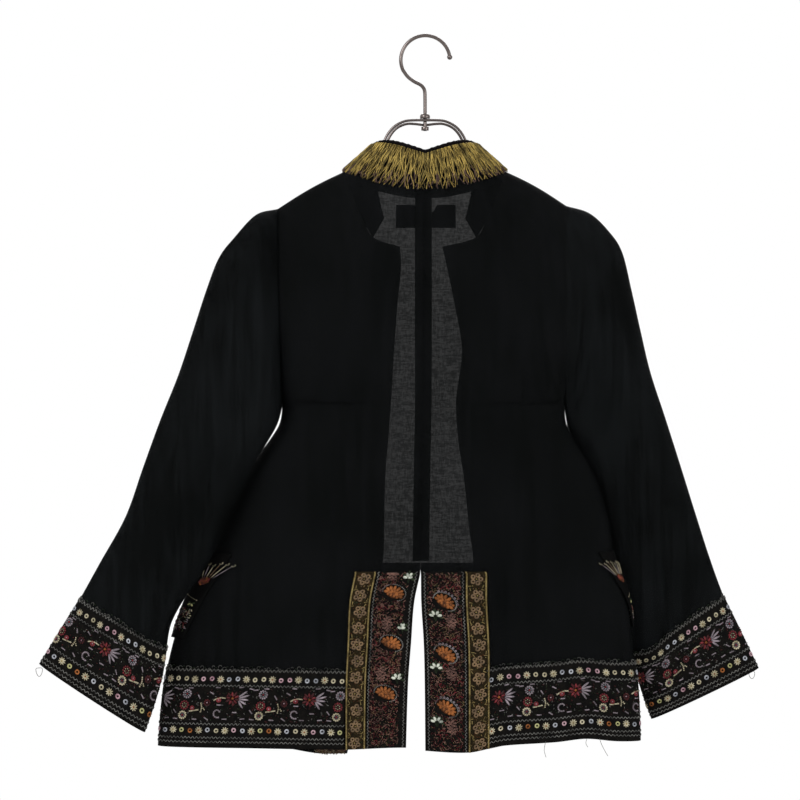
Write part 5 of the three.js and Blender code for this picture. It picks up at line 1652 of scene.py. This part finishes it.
def make_hanger():
    metal = material("metal", plated_material, bpy.context.scene.jacket_hanger.plating)
    angle = np.radians(np.linspace(HOOK["start"], HOOK["end"], 50))
    radius = HOOK["radius"]
    arc = points(HOOK["x"] + radius * np.cos(angle), 0 * angle, HOOK["z"] + radius * np.sin(angle))
    foot = smooth_line(np.concatenate([arc[-1:], points(HOOK_FOOT["x"], 0, HOOK_FOOT["z"])]), 60)
    wire = tube(np.concatenate([arc, foot[1:]]), HOOK["wire"], 16)
    for name, parts, node in (
        ("hanger_hook_wire", [wire, ball_at(arc[0], HOOK["ball"])], "hanger_hook"),
        ("hanger_dome_nut", [lathe(DOME_NUT, 32)], "hanger_nut"),
        ("hanger_lock_nut_ring", [lathe(LOCK_NUT, 24)], "hanger_lock_nut"),
    ):
        obj = build_mesh(name, *joined(parts), [metal])
        flip_inward(obj)
        place(obj, "plated_steel", node)
    for name, sign, drop in (("back", -1, 0.0), ("front", 1, 4.5)):
        # The front wire runs inside the back one as far as the collar.
        inside = np.clip(WIRE["x"] / 45, 0, 1) * np.clip((83 - WIRE["x"]) / 27, 0, 1) * min(drop, 3.3)
        z = WIRE["z"] - drop * np.clip(1 - WIRE["x"] / 45, 0, 1)
        half = points(WIRE["x"] - inside, sign * WIRE["spread"], z)
        line = np.concatenate([half[:0:-1] * np.array([-1, 1, 1]), half])
        obj = build_mesh(f"hanger_wire_{name}_arm", *tube(smooth_line(line, 150), 1.5, 14), [metal])
        flip_inward(obj)
        place(obj, "plated_steel", f"hanger_wire_{name}")


def make_threads():
    """Loose ends of the sewing at the cuffs and the hem, and the beads at the front's corner."""
    grey = material("silver thread")
    rng = np.random.default_rng(71)
    at, total = above_hem("left", "front")
    work = Needlework(at, back_outward, 0.5)
    for _ in range(260):
        s, t, a = total - 14 - 34 * rng.random() ** 1.3, rng.uniform(76, 86), rng.uniform(0, math.pi)
        colour = ("gold cord", "rose sequin", "cream glass", "mauve beads", "mauve beads")[rng.integers(5)]
        c, k = 1.3 * math.cos(a), 1.3 * math.sin(a)
        work.stitch(s - c, t - k, s + c, t + k, 0.9, colour, 1.0)
    work.make("front_corner_beads", "embroidered_band")
    loop = np.linspace(0, 2 * np.pi, 25)[:-1]
    parts = []
    for x, y, z, r in ((-420.0, -34, -694.0, 3.6), (364.0, 34, -704.0, 3.2)):
        rise = r * (1.3 * np.sin(loop) + 0.3 * np.cos(2 * loop))
        ring = points(x + r * np.cos(loop), y + 1.2 * np.sin(2 * loop), z + rise)
        parts.append(tube(ring, 0.3, 6, closed=True))
    for line in (
        [(131, -31, -771), (130, -31.5, -776), (129.6, -31, -781), (131.5, -31, -788)],
        [(190, -29, -768), (192, -29.5, -774), (195, -29.5, -780), (199, -29.5, -787)],
        [(176, -29.4, -768), (175, -30, -773), (177, -30, -777)],
    ):
        parts.append(tube(smooth_line(line, 14), 0.3, 6))
    obj = build_mesh("loose_threads", *joined(parts), [grey])
    flip_inward(obj)
    place(obj, "embroidered_band")


# ------------------------------------------------------------------ stage
VIEW = {"x": -27.5, "z": -399.0, "away": 3000.0, "lens": 122.7, "sensor": 36.0}


def make_stage():
    look = bpy.context.scene.jacket_stage
    scene = bpy.context.scene
    world = bpy.data.worlds.new("white studio")
    world.use_nodes = True
    world.node_tree.nodes["Background"].inputs["Color"].default_value = (1, 1, 1, 1)
    world.node_tree.nodes["Background"].inputs["Strength"].default_value = look.world
    scene.world = world
    scene.view_settings.view_transform = "Standard"
    floor, tree, shader, coords = new_material("pale matt floor", Roughness=0.9)
    shade = tint(tree, ramp(tree, noise(tree, coords, 3.0), 0.3, 0.7), "#e9e8e6", "#f1f0ee")
    tree.links.new(shade, shader.inputs["Base Color"])
    angle = 2 * np.pi * np.arange(64) / 64
    verts = points(1200 * np.cos(angle), 1200 * np.sin(angle), np.full(64, -1300.0))
    disc = build_mesh("studio_floor", verts, [tuple(range(64))], [floor], smooth=False)
    disc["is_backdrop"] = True
    target = Vector((0, 0, -0.4))
    for name, spot, size, energy in (
        ("key", (-1.6, -2.2, 1.0), 1.6, look.key),
        ("fill", (2.0, -2.0, -0.1), 1.8, look.key * 0.45),
        ("rim", (0.3, 2.0, 1.2), 1.5, look.key * 0.5),
    ):
        data = bpy.data.lights.new(name, "AREA")
        data.energy, data.size = energy, size
        lamp = bpy.data.objects.new(name, data)
        lamp.location = spot
        lamp.rotation_euler = (target - Vector(spot)).to_track_quat("-Z", "Y").to_euler()
        scene.collection.objects.link(lamp)
    data = bpy.data.cameras.new("view")
    data.lens, data.sensor_width = VIEW["lens"], VIEW["sensor"]
    data.clip_end = 20
    camera = bpy.data.objects.new("view", data)
    camera.location = (VIEW["x"] * MM, -VIEW["away"] * MM, VIEW["z"] * MM)
    camera.rotation_euler = (math.pi / 2, 0, 0)
    scene.collection.objects.link(camera)
    scene.camera = camera


# ------------------------------------------------------------------ properties, operators, panel
def metres(default, description, name):
    return bpy.props.FloatProperty(name=name, description=description, default=default, min=0, unit="LENGTH")


def colour(default, description, name):
    return bpy.props.FloatVectorProperty(
        name=name, description=description, default=linear(default)[:3], subtype="COLOR", min=0, max=1
    )


class JacketCloth(bpy.types.PropertyGroup):
    """The sheer cloth."""

    thickness: metres(0.0006, "Thickness of the voile", "Thickness")
    cover: bpy.props.FloatProperty(
        name="Cover",
        description="Share of light that one face of the voile stops",
        default=0.868,
        min=0,
        max=1,
        subtype="FACTOR",
    )


class JacketFringe(bpy.types.PropertyGroup):
    """The collar's fringe."""

    strands: bpy.props.IntProperty(name="Strands", description="Number of strands", default=500, min=10)
    length: metres(0.0395, "Length of the strands at the centre back", "Length")
    dark: colour("#33290f", "Gilt thread in shadow", "Dark gilt")
    light: colour("#ad9550", "Gilt thread in light", "Light gilt")


class JacketHanger(bpy.types.PropertyGroup):
    """The hanger."""

    plating: colour("#6a625f", "Colour of the plated wire", "Plating")


class JacketStage(bpy.types.PropertyGroup):
    """Light round the jacket."""

    world: bpy.props.FloatProperty(
        name="World", description="Strength of the white surroundings", default=1.0, min=0
    )
    key: bpy.props.FloatProperty(
        name="Key light", description="Power of the main soft light", default=55.0, min=0, unit="POWER"
    )


class JacketOperator:
    """Shared by the operators below: each one builds its pieces."""

    bl_options = {"REGISTER", "UNDO"}

    def execute(self, context):
        self.build()
        return {"FINISHED"}


class JACKET_OT_backs(JacketOperator, bpy.types.Operator):
    """Build the two half backs"""

    bl_idname = "jacket.backs"
    bl_label = "Backs"

    def build(self):
        for side in SIDES:
            make_panel(side, "back")


class JACKET_OT_fronts(JacketOperator, bpy.types.Operator):
    """Build the two open fronts"""

    bl_idname = "jacket.fronts"
    bl_label = "Fronts"

    def build(self):
        for side in SIDES:
            make_panel(side, "front")


class JACKET_OT_sleeves(JacketOperator, bpy.types.Operator):
    """Build the two sleeves"""

    bl_idname = "jacket.sleeves"
    bl_label = "Sleeves"

    def build(self):
        for side in SIDES:
            make_sleeve(side)


class JACKET_OT_inside(JacketOperator, bpy.types.Operator):
    """Build the tape, seam allowances, facings and bare label"""

    bl_idname = "jacket.inside"
    bl_label = "Inside Pieces"

    def build(self):
        make_inside()


class JACKET_OT_collar(JacketOperator, bpy.types.Operator):
    """Build the stand collar and its binding"""

    bl_idname = "jacket.collar"
    bl_label = "Collar"

    def build(self):
        make_collar()


class JACKET_OT_fringe(JacketOperator, bpy.types.Operator):
    """Build the collar's gilt fringe"""

    bl_idname = "jacket.fringe"
    bl_label = "Fringe"

    def build(self):
        make_fringe()


class JACKET_OT_hems(JacketOperator, bpy.types.Operator):
    """Build the embroidered hem bands"""

    bl_idname = "jacket.hems"
    bl_label = "Hem Bands"

    def build(self):
        for side in SIDES:
            for face in DEPTH:
                make_hem(side, face)


class JACKET_OT_vents(JacketOperator, bpy.types.Operator):
    """Build the fan and gilt bands beside the vent"""

    bl_idname = "jacket.vents"
    bl_label = "Vent Bands"

    def build(self):
        for side in SIDES:
            make_vent(side)


class JACKET_OT_front_bands(JacketOperator, bpy.types.Operator):
    """Build the bands of the lower front edges"""

    bl_idname = "jacket.front_bands"
    bl_label = "Front Bands"

    def build(self):
        for side in SIDES:
            make_front_band(side)


class JACKET_OT_cuffs(JacketOperator, bpy.types.Operator):
    """Build the embroidered cuffs"""

    bl_idname = "jacket.cuffs"
    bl_label = "Cuffs"

    def build(self):
        for side in SIDES:
            make_cuff(side)


class JACKET_OT_welts(JacketOperator, bpy.types.Operator):
    """Build the slanted pocket welts"""

    bl_idname = "jacket.welts"
    bl_label = "Pocket Welts"

    def build(self):
        for side in SIDES:
            make_welt(side)


class JACKET_OT_hanger(JacketOperator, bpy.types.Operator):
    """Build the wire hanger"""

    bl_idname = "jacket.hanger"
    bl_label = "Hanger"

    def build(self):
        make_hanger()


class JACKET_OT_threads(JacketOperator, bpy.types.Operator):
    """Build the loose thread ends"""

    bl_idname = "jacket.threads"
    bl_label = "Loose Threads"

    def build(self):
        make_threads()


class JACKET_OT_stage(JacketOperator, bpy.types.Operator):
    """Build the floor, light and camera"""

    bl_idname = "jacket.stage"
    bl_label = "Stage"

    def build(self):
        make_stage()


GROUPS = {
    "jacket_cloth": JacketCloth,
    "jacket_fringe": JacketFringe,
    "jacket_hanger": JacketHanger,
    "jacket_stage": JacketStage,
}
OPERATORS = (
    JACKET_OT_backs,
    JACKET_OT_fronts,
    JACKET_OT_sleeves,
    JACKET_OT_inside,
    JACKET_OT_collar,
    JACKET_OT_fringe,
    JACKET_OT_hems,
    JACKET_OT_vents,
    JACKET_OT_front_bands,
    JACKET_OT_cuffs,
    JACKET_OT_welts,
    JACKET_OT_hanger,
    JACKET_OT_threads,
    JACKET_OT_stage,
)


class JACKET_PT_panel(bpy.types.Panel):
    """Lists the jacket's sizes, colours and pieces"""

    bl_idname = "JACKET_PT_panel"
    bl_label = "Embroidered Jacket"
    bl_space_type = "VIEW_3D"
    bl_region_type = "UI"
    bl_category = "Jacket"

    def draw(self, context):
        for name, group in GROUPS.items():
            box = self.layout.box()
            for prop in group.__annotations__:
                box.prop(getattr(context.scene, name), prop)
        for operator in OPERATORS:
            self.layout.operator(operator.bl_idname)


CLASSES = (*GROUPS.values(), *OPERATORS, JACKET_PT_panel)


def register():
    for cls in CLASSES:
        bpy.utils.register_class(cls)
    for name, group in GROUPS.items():
        setattr(bpy.types.Scene, name, bpy.props.PointerProperty(type=group))


def unregister():
    for name in GROUPS:
        delattr(bpy.types.Scene, name)
    for cls in reversed(CLASSES):
        bpy.utils.unregister_class(cls)


# ------------------------------------------------------------------ the cloth's cut
# Width, length and flat area of each cut piece in metres, as far as it shows.
CUTS = {
    "back_left_voile": (0.300, 0.635, 0.134),
    "back_right_voile": (0.250, 0.635, 0.125),
    "front_left_voile": (0.250, 0.650, 0.109),
    "front_right_voile": (0.210, 0.635, 0.094),
    "sleeve_left_voile": (0.450, 0.575, 0.136),
    "sleeve_right_voile": (0.450, 0.575, 0.131),
    "collar_stand": (0.400, 0.048, 0.0120),
}


# The pieces sewn on each of them. The second word of a sheet's name fills the gap.
SEWN_ON = {
    "back": ("vent_band_{}_ground", "vent_gold_{}_ground", "vent_facing_{}_cloth", "hem_back_{}_ground"),
    "front": ("front_band_{}_ground", "hem_front_{}_ground"),
    "sleeve": ("cuff_band_{}_ground",),
    "collar": ("collar_binding_roll", "collar_fringe_strands"),
}


def declare_cloth():
    for name, (width, length, area) in CUTS.items():
        part, side = name.split("_")[:2]
        pieces = [bpy.data.objects[piece.format(side)] for piece in SEWN_ON[part]]


def main():
    register()
    for operator in OPERATORS:
        group, name = operator.bl_idname.split(".")
        getattr(getattr(bpy.ops, group), name)()
    declare_cloth()
    sizes = {"cad": CAD_BOX, "visual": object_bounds()}
    {key: [[float(x) for x in corner] for corner in box] for key, box in sizes.items()}


if __name__ == "__main__":
    main()
